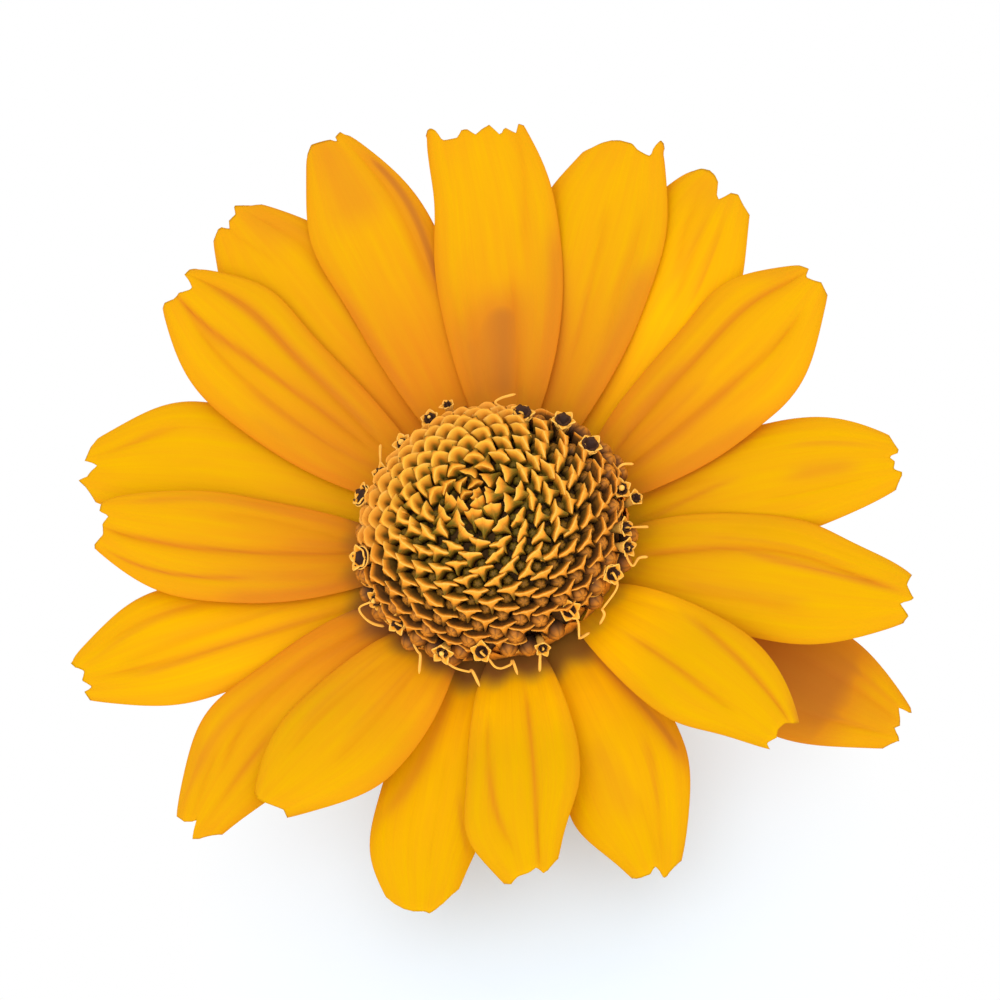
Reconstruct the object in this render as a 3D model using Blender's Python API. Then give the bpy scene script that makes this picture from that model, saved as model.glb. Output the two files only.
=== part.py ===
"""A picked false sunflower: ray florets, a domed disc of small florets, and a green involucre.

Metres, +Z up. The head lies on its back, face up: the origin is at the middle of the
picked scar under the head, which rests on the surface z = 0 with the tips of three bracts.
"""
import math

import bmesh
import bpy
import numpy as np
from mathutils import Vector
from mathutils.geometry import delaunay_2d_cdt

# Driving dimensions, in millimetres; MM turns them into metres.
MM = 0.001

# the ring where the ray florets leave the receptacle
RING_Z = 7.2
RING_R = 9.5
SEAT_GAP = 0.3

# ray florets
RAY_THICKNESS = 0.66
RAY_STATIONS = 10
RAY_COLUMNS = (-1.0, -0.66, -0.33, 0.0, 0.33, 0.66, 1.0)
CLAW_SHARE = 0.24
CLAW_FULLNESS = 0.7
WIDEST_AT = 0.58
TIP_FULLNESS = 0.85
RISE_POWER = 0.85
NOTCH_DEPTH = 0.9
NOTCH_AT = 0.33
NOTCH_WIDTH = 0.11
TIP_ROUNDING = 0.03
FURROW_WIDTH = 0.12
ROOT_LEVEL_STEP = 0.9
FULL_LEVEL_STEP = 1.3
LEVEL_RAMP_END = 0.2

# green receptacle cup, turned, from the picked scar up to the wall that carries the rays
CUP_SIDES = 28
SCAR_R = 2.3
CUP_WALL_R = RING_R - SEAT_GAP
CUP_TOP_Z = 8.6
CUP_PROFILE = (
    (SCAR_R, 0.0),
    (2.9, 1.0),
    (4.6, 2.5),
    (7.2, 4.2),
    (9.3, 5.4),
    (10.0, 6.1),
    (9.9, 6.5),
    (CUP_WALL_R, 6.6),
    (CUP_WALL_R, CUP_TOP_Z),
)

# bracts: radius and height of the midrib at its root, knee and tip, and the width
BRACT_THICKNESS = 0.7
BRACT_STATIONS = 7
BRACT_POINT = 0.12
BRACT_ROOT_PHASE = 0.22
BRACT_FULLNESS = 0.8
BRACT_KEEL = 0.25
INNER_BRACTS = 10
INNER_BRACT = dict(root=(7.0, 5.0), knee=(10.5, 5.6), tip=(14.2, 5.5), width=4.6, shift=0.25)
OUTER_BRACTS = 9
OUTER_BRACT = dict(root=(3.4, 2.2), knee=(9.5, 5.2), tip_r=14.8, width=4.4, shift=0.6)
LOW_TIP_EVERY = 3
TIP_LIFTS = (0.0, 1.3, 1.8)

# disc of small florets on its domed receptacle
DISC_R = 11.5
DISC_WIDEST_Z = 11.2
DISC_DOME_H = 7.6
DISC_FOOT_R = 8.5
DISC_FOOT_Z = CUP_TOP_Z + SEAT_GAP
DOME_POWER = 2.3
FLORET_COUNT = 290
GOLDEN_ANGLE = math.radians(137.508)
FLORET_RELIEF = 0.75
FLORET_HOLLOW = 0.35
FLORET_LEAN = 0.35
RIM_POINTS = 60
SLOPE_STEP = 0.01
AREA_STEPS = 400

# open florets round the foot of the dome
OPEN_COUNT = 17
OPEN_LOBES = 5
OPEN_LOBE_R = 1.15
OPEN_THROAT_R = 0.5
OPEN_LENGTH = 2.0
OPEN_RING_R = 10.9
OPEN_RING_Z = 12.3
OPEN_TILT = 42.0
OPEN_SEED = 5
OPEN_THROAT_DEPTH = 0.45
OPEN_LOBE_LIFT = 0.15
OPEN_AZIMUTH_PLAY = 0.2
OPEN_HEIGHT_PLAY = 0.5
OPEN_TILT_PLAY = 8.0

# one line for each ray floret, clockwise from the far side: azimuth of the root, turn of the
# root and bend along the blade in degrees; length, width and rise of the tip in millimetres;
# level in the pile (0 lies lowest); width of the toothed tip as a share of the width; slant of
# the tip; cup of the blade; depth of its two furrows in millimetres
RAYS = (
    dict(azimuth=57.5, toe=-1.5, bend=16, length=25.0, width=10.9, rise=6.5, level=2,
         tip=0.70, slant=0.035, cup=0.05, furrow=0.30),
    dict(azimuth=39.0, toe=1.0, bend=2, length=25.0, width=10.2, rise=5.9, level=1,
         tip=0.52, slant=-0.01, cup=0.05, furrow=0.25),
    dict(azimuth=21.0, toe=1.0, bend=10, length=25.3, width=10.8, rise=5.6, level=0,
         tip=0.50, slant=0.03, cup=0.05, furrow=0.25),
    dict(azimuth=0.0, toe=2.0, bend=11, length=24.3, width=11.0, rise=6.4, level=1,
         tip=0.22, slant=-0.01, cup=0.10, furrow=0.45),
    dict(azimuth=-18.5, toe=-2.0, bend=-12, length=24.6, width=10.2, rise=5.3, level=0,
         tip=0.36, slant=0.0, cup=0.05, furrow=0.20),
    dict(azimuth=-40.7, toe=-2.0, bend=-6, length=26.4, width=10.6, rise=6.0, level=1,
         tip=0.33, slant=-0.01, cup=0.08, furrow=0.30),
    dict(azimuth=-56.0, toe=0.5, bend=-5, length=27.6, width=10.2, rise=-1.5, level=0,
         tip=0.33, slant=0.0, cup=0.05, furrow=0.15),
    dict(azimuth=-69.5, toe=6.0, bend=-13, length=23.2, width=9.4, rise=7.6, level=2,
         tip=0.27, slant=0.0, cup=0.14, furrow=0.30),
    dict(azimuth=-90.0, toe=2.5, bend=-20, length=23.9, width=10.4, rise=4.6, level=0,
         tip=0.38, slant=0.0, cup=0.06, furrow=0.20),
    dict(azimuth=-112.0, toe=0.0, bend=1, length=22.0, width=9.4, rise=6.9, level=1,
         tip=0.42, slant=-0.02, cup=0.12, furrow=0.30),
    dict(azimuth=-133.0, toe=-2.0, bend=17, length=24.0, width=9.4, rise=5.0, level=0,
         tip=0.42, slant=0.0, cup=0.08, furrow=0.15),
    dict(azimuth=-150.0, toe=-2.5, bend=-10, length=20.4, width=10.4, rise=7.0, level=2,
         tip=0.30, slant=0.0, cup=0.14, furrow=0.30),
    dict(azimuth=-171.0, toe=-3.0, bend=33, length=26.4, width=9.2, rise=7.2, level=1,
         tip=0.36, slant=0.0, cup=0.10, furrow=0.35),
    dict(azimuth=-191.3, toe=-2.0, bend=5, length=26.8, width=10.0, rise=6.0, level=0,
         tip=0.36, slant=0.0, cup=0.05, furrow=0.30),
    dict(azimuth=-206.0, toe=1.5, bend=-21, length=23.8, width=9.4, rise=6.8, level=1,
         tip=0.40, slant=0.0, cup=0.06, furrow=0.35),
    dict(azimuth=-229.0, toe=-4.0, bend=30, length=26.4, width=11.2, rise=5.6, level=0,
         tip=0.44, slant=0.0, cup=0.05, furrow=0.20),
    dict(azimuth=-245.0, toe=1.0, bend=-14, length=25.6, width=9.8, rise=6.6, level=1,
         tip=0.34, slant=-0.02, cup=0.08, furrow=0.45),
    dict(azimuth=-262.5, toe=2.5, bend=-2, length=27.0, width=10.5, rise=6.1, level=0,
         tip=0.40, slant=-0.01, cup=0.05, furrow=0.25),
    dict(azimuth=-281.3, toe=1.5, bend=8, length=27.7, width=9.5, rise=6.7, level=1,
         tip=0.40, slant=0.02, cup=0.08, furrow=0.25),
)


def clear_scene():
    for thing in list(bpy.data.objects):
        bpy.data.objects.remove(thing, do_unlink=True)


def make_material(name, color, roughness):
    material = bpy.data.materials.new(name)
    material.use_nodes = True
    shader = material.node_tree.nodes["Principled BSDF"]
    shader.inputs["Base Color"].default_value = (*color, 1.0)
    shader.inputs["Roughness"].default_value = roughness
    shader.inputs["Metallic"].default_value = 0.0
    material.diffuse_color = (*color, 1.0)
    return material


def make_object(name, points_mm, faces, material=None):
    """Make an object from points in millimetres, with its faces turned outward."""
    mesh = bpy.data.meshes.new(name)
    points = [Vector(point) * MM for point in points_mm]
    mesh.from_pydata(points, [], faces)
    work = bmesh.new()
    work.from_mesh(mesh)
    bmesh.ops.recalc_face_normals(work, faces=work.faces)
    work.to_mesh(mesh)
    work.free()
    if material:
        mesh.materials.append(material)
    thing = bpy.data.objects.new(name, mesh)
    bpy.context.scene.collection.objects.link(thing)
    return thing


def smoothstep(value):
    value = min(max(value, 0.0), 1.0)
    return value * value * (3 - 2 * value)


def blade_solid(rows_of_points, thickness):
    """Close a grid of points into a blade; both faces are split along the same diagonals."""
    rows = len(rows_of_points)
    columns = len(rows_of_points[0])
    half = thickness / 2
    points = []
    for side in (half, -half):
        for row in rows_of_points:
            points.extend((x, y, z + side) for x, y, z in row)
    layer = rows * columns

    def at(row, column, low):
        return row * columns + column + (layer if low else 0)

    faces = []
    for row in range(rows - 1):
        for column in range(columns - 1):
            a, b = (row, column), (row, column + 1)
            c, d = (row + 1, column + 1), (row + 1, column)
            for first, second, third in ((a, b, c), (a, c, d)):
                faces.append((at(*first, False), at(*second, False), at(*third, False)))
                faces.append((at(*third, True), at(*second, True), at(*first, True)))
    border = [(0, column) for column in range(columns - 1)]
    border += [(row, columns - 1) for row in range(rows - 1)]
    border += [(rows - 1, column) for column in range(columns - 1, 0, -1)]
    border += [(row, 0) for row in range(rows - 1, 0, -1)]
    for here, there in zip(border, border[1:] + border[:1]):
        faces.append((at(*here, False), at(*here, True), at(*there, True)))
        faces.append((at(*here, False), at(*there, True), at(*there, False)))
    return points, faces


def ray_half_width(ray, along):
    if along < WIDEST_AT:
        opening = math.sin(math.pi / 2 * max(along, 0.0) / WIDEST_AT) ** CLAW_FULLNESS
        share = CLAW_SHARE + (1 - CLAW_SHARE) * opening
    else:
        closing = min((along - WIDEST_AT) / (1 - WIDEST_AT), 1.0)
        rounding = max(math.cos(math.pi / 2 * closing), 0.0) ** TIP_FULLNESS
        share = ray["tip"] + (1 - ray["tip"]) * rounding
    return ray["width"] / 2 * share


def ray_point(ray, along, across):
    """Point on a ray floret's middle surface; along runs 0 to 1, across -1 to 1."""
    furrow = (abs(across) - NOTCH_AT) / NOTCH_WIDTH
    notch = NOTCH_DEPTH / ray["length"] * math.exp(-furrow * furrow)
    along = along * (1 - notch - TIP_ROUNDING * across * across + ray["slant"] * across)
    azimuth = math.radians(ray["azimuth"])
    start = azimuth + math.radians(ray["toe"])
    bend = math.radians(ray["bend"])
    heading = start + bend * along
    x = RING_R * math.cos(azimuth) + ray["length"] / bend * (math.sin(heading) - math.sin(start))
    y = RING_R * math.sin(azimuth) - ray["length"] / bend * (math.cos(heading) - math.cos(start))
    side = ray_half_width(ray, along) * across
    level_ramp = smoothstep(along / LEVEL_RAMP_END)
    level_step = ROOT_LEVEL_STEP + (FULL_LEVEL_STEP - ROOT_LEVEL_STEP) * level_ramp
    z = RING_Z + ray["rise"] * max(along, 0.0) ** RISE_POWER + ray["level"] * level_step
    z -= ray["cup"] * ray["width"] / 2 * across * across * smoothstep(along * 2)
    groove = (abs(across) - NOTCH_AT) / FURROW_WIDTH
    z -= ray["furrow"] * math.exp(-groove * groove) * smoothstep(along * 4)
    return (x - math.sin(heading) * side, y + math.cos(heading) * side, z)


def make_rays(material):
    for number, ray in enumerate(RAYS, start=1):
        rows = []
        for station in range(RAY_STATIONS):
            along = station / (RAY_STATIONS - 1)
            rows.append([ray_point(ray, along, across) for across in RAY_COLUMNS])
        points, faces = blade_solid(rows, RAY_THICKNESS)
        make_object(f"ray_{number:02d}", points, faces, material)


def dome_point(turn):
    """Radius and height on the dome's meridian; turn runs 0 at the top to 1 at the widest."""
    angle = math.pi / 2 * turn
    radius = DISC_R * math.sin(angle) ** (2 / DOME_POWER)
    height = DISC_WIDEST_Z + DISC_DOME_H * max(math.cos(angle), 0.0) ** (2 / DOME_POWER)
    return radius, height


def dome_turns_by_area():
    """Return a function from a share of the dome's area to its turn along the meridian."""
    meridian = [dome_point(step / AREA_STEPS) for step in range(AREA_STEPS + 1)]
    area = [0.0]
    for (r0, z0), (r1, z1) in zip(meridian, meridian[1:]):
        area.append(area[-1] + (r0 + r1) * math.hypot(r1 - r0, z1 - z0))
    shares = np.array(area) / area[-1]
    turns = np.linspace(0.0, 1.0, AREA_STEPS + 1)
    return lambda share: float(np.interp(share, shares, turns))


def dome_frame(turn, azimuth):
    """Point on the dome, its outward normal and the direction up towards the top."""
    r0, z0 = dome_point(max(turn - SLOPE_STEP, 0.0))
    r1, z1 = dome_point(min(turn + SLOPE_STEP, 1.0))
    radius, height = dome_point(turn)
    slope = Vector((r1 - r0, z1 - z0)).normalized()
    outward = Vector((math.cos(azimuth), math.sin(azimuth), 0.0))
    normal = outward * -slope.y + Vector((0, 0, 1)) * slope.x
    upward = outward * -slope.x + Vector((0, 0, 1)) * -slope.y
    return outward * radius + Vector((0, 0, height)), normal, upward


def disc_body():
    """Dome whose surface rises to one pointed scale at each floret and dips between them."""
    turn_at = dome_turns_by_area()
    flat = []
    raised = []
    for index in range(FLORET_COUNT):
        share = (index + 0.5) / (FLORET_COUNT + RIM_POINTS / 2)
        azimuth = index * GOLDEN_ANGLE
        flat.append(Vector((math.cos(azimuth), math.sin(azimuth))) * math.sqrt(share))
        point, normal, upward = dome_frame(turn_at(share), azimuth)
        raised.append(point + normal * FLORET_RELIEF + upward * FLORET_LEAN)
    rim = []
    for index in range(RIM_POINTS):
        azimuth = 2 * math.pi * index / RIM_POINTS
        flat.append(Vector((math.cos(azimuth), math.sin(azimuth))))
        radius, height = dome_point(1.0)
        rim.append(len(raised))
        raised.append(Vector((radius * math.cos(azimuth), radius * math.sin(azimuth), height)))
    cells = delaunay_2d_cdt(flat, [], [], 0, 1e-7)[2]
    points = [tuple(point) for point in raised]
    around_edge = {}
    for cell in cells:
        middle = sum((flat[corner] for corner in cell), Vector((0.0, 0.0))) / 3
        share = min(middle.length_squared, 1.0)
        point, normal, _ = dome_frame(turn_at(share), math.atan2(middle.y, middle.x))
        points.append(tuple(point - normal * FLORET_HOLLOW))
        for here, there in zip(cell, cell[1:] + cell[:1]):
            around_edge.setdefault(frozenset((here, there)), []).append((here, there, len(points) - 1))
    faces = []
    for sides in around_edge.values():
        here, there, hollow = sides[0]
        if len(sides) == 2:
            other = sides[1][2]
            faces.append((here, other, hollow))
            faces.append((there, hollow, other))
        else:
            faces.append((here, there, hollow))
    foot = []
    for index in range(RIM_POINTS):
        azimuth = 2 * math.pi * index / RIM_POINTS
        foot.append(len(points))
        points.append((DISC_FOOT_R * math.cos(azimuth), DISC_FOOT_R * math.sin(azimuth), DISC_FOOT_Z))
    for index in range(RIM_POINTS):
        after = (index + 1) % RIM_POINTS
        faces.append((rim[index], foot[index], foot[after], rim[after]))
    faces.append(tuple(foot))
    return points, faces


def open_floret(index):
    """One open floret: a tube that spreads into five pointed lobes, rooted in the dome."""
    rng = np.random.default_rng(OPEN_SEED + index)
    place = index + rng.uniform(-OPEN_AZIMUTH_PLAY, OPEN_AZIMUTH_PLAY)
    azimuth = 2 * math.pi * place / OPEN_COUNT
    outward = Vector((math.cos(azimuth), math.sin(azimuth), 0.0))
    up = Vector((0, 0, 1))
    tilt = math.radians(OPEN_TILT + rng.uniform(-OPEN_TILT_PLAY, OPEN_TILT_PLAY))
    axis = outward * math.cos(tilt) + up * math.sin(tilt)
    side = up.cross(outward)
    across = axis.cross(side)
    height = OPEN_RING_Z + rng.uniform(-OPEN_HEIGHT_PLAY, OPEN_HEIGHT_PLAY)
    mouth = outward * OPEN_RING_R + up * height
    points = [tuple(mouth - axis * OPEN_THROAT_DEPTH)]
    spin = rng.uniform(0, 2 * math.pi)
    for corner in range(2 * OPEN_LOBES):
        angle = spin + math.pi * corner / OPEN_LOBES
        reach = OPEN_LOBE_R if corner % 2 == 0 else OPEN_THROAT_R
        lift = OPEN_LOBE_LIFT if corner % 2 == 0 else 0.0
        spread = side * math.cos(angle) + across * math.sin(angle)
        points.append(tuple(mouth + spread * reach + axis * lift))
    for corner in range(OPEN_LOBES):
        angle = spin + 2 * math.pi * corner / OPEN_LOBES
        spread = side * math.cos(angle) + across * math.sin(angle)
        points.append(tuple(mouth + spread * OPEN_THROAT_R - axis * OPEN_LENGTH))
    faces = []
    outline = list(range(1, 2 * OPEN_LOBES + 1))
    base = list(range(2 * OPEN_LOBES + 1, 3 * OPEN_LOBES + 1))
    for corner, here in enumerate(outline):
        after = outline[(corner + 1) % len(outline)]
        faces.append((0, here, after))
        below = base[corner // 2]
        if corner % 2 == 0:
            faces.append((here, below, after))
        else:
            beside = base[(corner // 2 + 1) % OPEN_LOBES]
            faces.append((here, below, beside))
            faces.append((here, beside, after))
    faces.append(tuple(base))
    return points, faces


def cup_body():
    """Turned cup of the receptacle, closed at the picked scar and at the top."""
    points = []
    for radius, height in CUP_PROFILE:
        for side in range(CUP_SIDES):
            angle = 2 * math.pi * side / CUP_SIDES
            points.append((radius * math.cos(angle), radius * math.sin(angle), height))
    faces = [tuple(range(CUP_SIDES))]
    for ring in range(len(CUP_PROFILE) - 1):
        for side in range(CUP_SIDES):
            after = (side + 1) % CUP_SIDES
            low, high = ring * CUP_SIDES, (ring + 1) * CUP_SIDES
            faces.append((low + side, low + after, high + after, high + side))
    top = (len(CUP_PROFILE) - 1) * CUP_SIDES
    faces.append(tuple(range(top, top + CUP_SIDES)))
    return points, faces


def bract(azimuth, root, knee, tip, width):
    """Pointed bract whose midrib runs from root past knee to tip, each a radius and a height."""
    outward = Vector((math.cos(azimuth), math.sin(azimuth), 0.0))
    side = Vector((-math.sin(azimuth), math.cos(azimuth), 0.0))
    rows = []
    for station in range(BRACT_STATIONS):
        along = station / (BRACT_STATIONS - 1)
        blend = ((1 - along) ** 2, 2 * along * (1 - along), along ** 2)
        radius = sum(share * point[0] for share, point in zip(blend, (root, knee, tip)))
        height = sum(share * point[1] for share, point in zip(blend, (root, knee, tip)))
        phase = BRACT_ROOT_PHASE + (1 - BRACT_ROOT_PHASE) * along
        share = max(math.sin(math.pi * phase), 0.0) ** BRACT_FULLNESS
        half = width / 2 * (BRACT_POINT + (1 - BRACT_POINT) * share)
        row = []
        for across in (-1.0, 0.0, 1.0):
            keel = BRACT_KEEL * (1 - abs(across)) * (1 - along)
            spot = outward * radius + side * half * across
            row.append((spot.x, spot.y, height - keel))
        rows.append(row)
    return blade_solid(rows, BRACT_THICKNESS)


def bract_solids():
    """Two whorls of bracts; every third outer one bends down until its tip rests at z = 0."""
    solids = []
    for index in range(INNER_BRACTS):
        azimuth = 2 * math.pi * (index + INNER_BRACT["shift"]) / INNER_BRACTS
        solids.append(bract(azimuth, INNER_BRACT["root"], INNER_BRACT["knee"],
                            INNER_BRACT["tip"], INNER_BRACT["width"]))
    for index in range(OUTER_BRACTS):
        azimuth = 2 * math.pi * (index + OUTER_BRACT["shift"]) / OUTER_BRACTS
        tip_z = BRACT_THICKNESS / 2 + TIP_LIFTS[index % LOW_TIP_EVERY]
        solids.append(bract(azimuth, OUTER_BRACT["root"], OUTER_BRACT["knee"],
                            (OUTER_BRACT["tip_r"], tip_z), OUTER_BRACT["width"]))
    return solids


def fuse(body, solids):
    """Join the solids to the body by one Boolean union on a collection, applied."""
    group = bpy.data.collections.new(body.name + "_repeats")
    bpy.context.scene.collection.children.link(group)
    pieces = []
    for index, (points, faces) in enumerate(solids):
        piece = make_object(f"{body.name}_piece_{index:02d}", points, faces)
        bpy.context.scene.collection.objects.unlink(piece)
        group.objects.link(piece)
        pieces.append(piece)
    union = body.modifiers.new("union", "BOOLEAN")
    union.operation = "UNION"
    union.operand_type = "COLLECTION"
    union.collection = group
    union.solver = "MANIFOLD"
    depsgraph = bpy.context.evaluated_depsgraph_get()
    fused = bpy.data.meshes.new_from_object(body.evaluated_get(depsgraph))
    body.modifiers.remove(union)
    body.data = fused
    for piece in pieces:
        bpy.data.objects.remove(piece, do_unlink=True)
    bpy.data.collections.remove(group)


def make_disc(material):
    points, faces = disc_body()
    disc = make_object("disc", points, faces, material)
    fuse(disc, [open_floret(index) for index in range(OPEN_COUNT)])


def make_involucre(material):
    points, faces = cup_body()
    involucre = make_object("involucre", points, faces, material)
    fuse(involucre, bract_solids())


def main():
    clear_scene()
    make_rays(make_material("ray_yellow", (0.93, 0.48, 0.01), 0.5))
    make_disc(make_material("disc_gold", (0.55, 0.30, 0.06), 0.6))
    make_involucre(make_material("bract_green", (0.22, 0.33, 0.09), 0.6))


main()
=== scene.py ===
# Looks of a picked false sunflower: fine petals, a disc of small florets and the green
# bracts below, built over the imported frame. Lengths are millimetres unless a note says so.
import math

import bpy
import numpy as np
from mathutils import Matrix, Vector


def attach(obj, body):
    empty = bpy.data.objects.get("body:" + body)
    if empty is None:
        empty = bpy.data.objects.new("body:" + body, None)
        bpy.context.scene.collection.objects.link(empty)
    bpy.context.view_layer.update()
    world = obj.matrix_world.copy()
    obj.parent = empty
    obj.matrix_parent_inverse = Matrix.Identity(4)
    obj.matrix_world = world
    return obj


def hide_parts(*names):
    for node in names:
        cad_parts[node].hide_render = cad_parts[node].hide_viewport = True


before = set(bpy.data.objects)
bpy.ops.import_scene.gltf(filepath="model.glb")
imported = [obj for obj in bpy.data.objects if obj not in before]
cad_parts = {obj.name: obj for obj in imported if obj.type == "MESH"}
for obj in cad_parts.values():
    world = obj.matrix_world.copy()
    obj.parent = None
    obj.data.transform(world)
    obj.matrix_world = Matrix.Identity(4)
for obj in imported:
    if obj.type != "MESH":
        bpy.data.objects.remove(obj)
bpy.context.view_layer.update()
mm = 0.001
goldenAngle = math.radians(137.508)


def smooth(value, low=0.0, high=1.0):
    share = np.clip((value - low) / (high - low), 0.0, 1.0)
    return share * share * (3 - 2 * share)


def blend(first, second, share):
    return first + (second - first) * share


def bell(away, width):
    return np.exp(-(away / width) ** 2)


# Falls to 0 like the side of a round edge, where the room that is left runs out.
def roundOff(room, reach=1.0):
    return np.sqrt(np.clip(room / reach, 0, 1))


# Level directions outward and sideways at an azimuth in radians.
def levelFrame(azimuth):
    across, along = math.cos(azimuth), math.sin(azimuth)
    return np.array((across, along, 0.0)), np.array((-along, across, 0.0))


# Faces of a grid of points; around closes each row, upAndOver joins the last row to the first.
def gridFaces(rows, columns, around=False, upAndOver=False):
    faces = []
    for row in range(rows if upAndOver else rows - 1):
        for column in range(columns if around else columns - 1):
            right = (column + 1) % columns
            above = (row + 1) % rows
            faces.append((row * columns + column, row * columns + right,
                          above * columns + right, above * columns + column))
    return faces


# Faces of rings of points, with a cap over the first and one over the last.
def tubeFaces(rings, sides):
    last = (rings - 1) * sides
    caps = [tuple(reversed(range(sides))), tuple(range(last, last + sides))]
    return gridFaces(rings, sides, around=True) + caps


# Station along and place across for each point of a blade; crowded has more columns near the margins.
def bladeGrid(look, crowded=False):
    places = np.linspace(-1, 1, look["columns"])
    if crowded:
        places = np.sin(np.linspace(-np.pi / 2, np.pi / 2, look["columns"]))
    return np.meshgrid(np.linspace(0, 1, look["rows"]), places, indexing="ij")


# A level ring of points around the axis of the flower.
def levelRing(radius, height, around):
    level = np.full_like(around, height)
    return np.stack((radius * np.cos(around), radius * np.sin(around), level), axis=-1)


# A tone drives the colour: it has one number for the whole part or one for each point.
def newPart(points, faces, uv=None, **tones):
    points = np.asarray(points, float).reshape(-1, 3)
    tones = {name: np.broadcast_to(np.ravel(tone).astype(float), len(points))
             for name, tone in tones.items()}
    return dict(points=points, faces=faces, uv=uv, tones=tones)


# A closed blade around the grid of its middle surface: its two faces share the points of the margin.
# Half is half its thickness at each point; keep tells which point of the grid each new point has.
def bladeShell(middle, half, upward=(0.0, 0.0, 1.0)):
    rows, columns = half.shape
    normal = np.cross(np.gradient(middle, axis=0), np.gradient(middle, axis=1))
    normal /= np.linalg.norm(normal, axis=-1, keepdims=True) + 1e-12
    normal *= np.where(normal @ np.asarray(upward) < 0, -1.0, 1.0)[..., None]
    upper = (middle + normal * half[..., None]).reshape(-1, 3)
    lower = (middle - normal * half[..., None]).reshape(-1, 3)
    inner = np.zeros((rows, columns), bool)
    inner[1:-1, 1:-1] = True
    inner = inner.ravel()
    lowIndex = np.arange(rows * columns)
    lowIndex[inner] = rows * columns + np.arange(inner.sum())
    faces = gridFaces(rows, columns)
    faces += [tuple(int(lowIndex[corner]) for corner in reversed(face)) for face in faces]
    keep = np.concatenate((np.arange(rows * columns), np.flatnonzero(inner)))
    return np.concatenate((upper, lower[inner])), faces, keep


# Joins parts into one named object that rides on the body, takes a material and replaces a node.
def makePiece(name, parts, material, node):
    points = np.concatenate([part["points"] for part in parts]) * mm
    faces = []
    shift = 0
    for part in parts:
        faces.extend(tuple(corner + shift for corner in face) for face in part["faces"])
        shift += len(part["points"])
    mesh = bpy.data.meshes.new(name)
    mesh.from_pydata(points.tolist(), [], faces)
    for tone in parts[0]["tones"]:
        layer = mesh.attributes.new(tone, "FLOAT", "POINT")
        layer.data.foreach_set("value", np.concatenate([part["tones"][tone] for part in parts]))
    if parts[0]["uv"] is not None:
        uv = np.concatenate([part["uv"] for part in parts])
        corners = np.zeros(len(mesh.loops), dtype=np.int32)
        mesh.loops.foreach_get("vertex_index", corners)
        layer = mesh.uv_layers.new(name="UVMap")
        layer.data.foreach_set("uv", uv[corners].ravel())
    mesh.polygons.foreach_set("use_smooth", [True] * len(mesh.polygons))
    mesh.materials.append(material)
    piece = bpy.data.objects.new(name, mesh)
    bpy.context.scene.collection.objects.link(piece)
    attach(piece, "root")
    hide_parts(node)


def addNode(tree, kind, inputs=None, **settings):
    node = tree.nodes.new(kind)
    for name, value in settings.items():
        setattr(node, name, value)
    for key, value in (inputs or {}).items():
        if isinstance(value, bpy.types.NodeSocket):
            tree.links.new(value, node.inputs[key])
        else:
            node.inputs[key].default_value = value
    return node


def mixColors(tree, share, first, second):
    node = addNode(tree, "ShaderNodeMix", data_type="RGBA")
    for index, value in ((0, share), (6, first), (7, second)):
        if isinstance(value, bpy.types.NodeSocket):
            tree.links.new(value, node.inputs[index])
        elif index == 0:
            node.inputs[index].default_value = value
        else:
            node.inputs[index].default_value = (*value, 1.0)
    return node.outputs[2]


def remap(tree, value, fromLow, fromHigh, low=0.0, high=1.0):
    node = addNode(tree, "ShaderNodeMapRange", {0: value, 1: fromLow, 2: fromHigh, 3: low, 4: high})
    return node.outputs[0]


def toneOf(tree, name):
    return addNode(tree, "ShaderNodeAttribute", attribute_name=name).outputs["Fac"]


def plantMaterial(name):
    material = bpy.data.materials.new(name)
    material.use_nodes = True
    material.node_tree.nodes.clear()
    return material, material.node_tree


# Lays paints over a colour in turn; each layer is (value, from, to, strength, paint).
def paintLayers(tree, color, look, layers):
    for value, low, high, strength, paint in layers:
        color = mixColors(tree, remap(tree, value, low, high, 0.0, strength), color, look[paint])
    return color


# The surface of a colour, made rough and uneven by the given grains.
def closeMaterial(tree, color, grains, look):
    roughness = remap(tree, grains, 0.3, 0.7, *look["roughness"])
    bump = addNode(tree, "ShaderNodeBump",
                   {"Strength": look["bump"], "Distance": look["bumpDepth"] * mm, "Height": grains})
    shader = addNode(tree, "ShaderNodeBsdfPrincipled",
                     {"Base Color": color, "Roughness": roughness, "Normal": bump.outputs[0],
                      "Specular IOR Level": look["specular"]})
    surface = shader.outputs[0]
    if look["glow"] > 0:
        through = addNode(tree, "ShaderNodeBsdfTranslucent", {"Color": color})
        surface = addNode(tree, "ShaderNodeMixShader",
                          {0: look["glow"], 1: surface, 2: through.outputs[0]}).outputs[0]
    addNode(tree, "ShaderNodeOutputMaterial", {"Surface": surface})


# Fine grains all around a piece.
def speckle(tree, scale):
    place = addNode(tree, "ShaderNodeTexCoord").outputs["Object"]
    return addNode(tree, "ShaderNodeTexNoise", {"Vector": place, "Scale": scale, "Detail": 2.0}).outputs[0]


# Grains drawn out along a blade: how many fit across it and along it.
def streaks(tree, across, along, detail):
    uv = addNode(tree, "ShaderNodeTexCoord").outputs["UV"]
    place = addNode(tree, "ShaderNodeMapping", {"Vector": uv, "Scale": (across, along, 1.0)}).outputs[0]
    return addNode(tree, "ShaderNodeTexNoise", {"Vector": place, "Scale": 1.0, "Detail": detail}).outputs[0]


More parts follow.
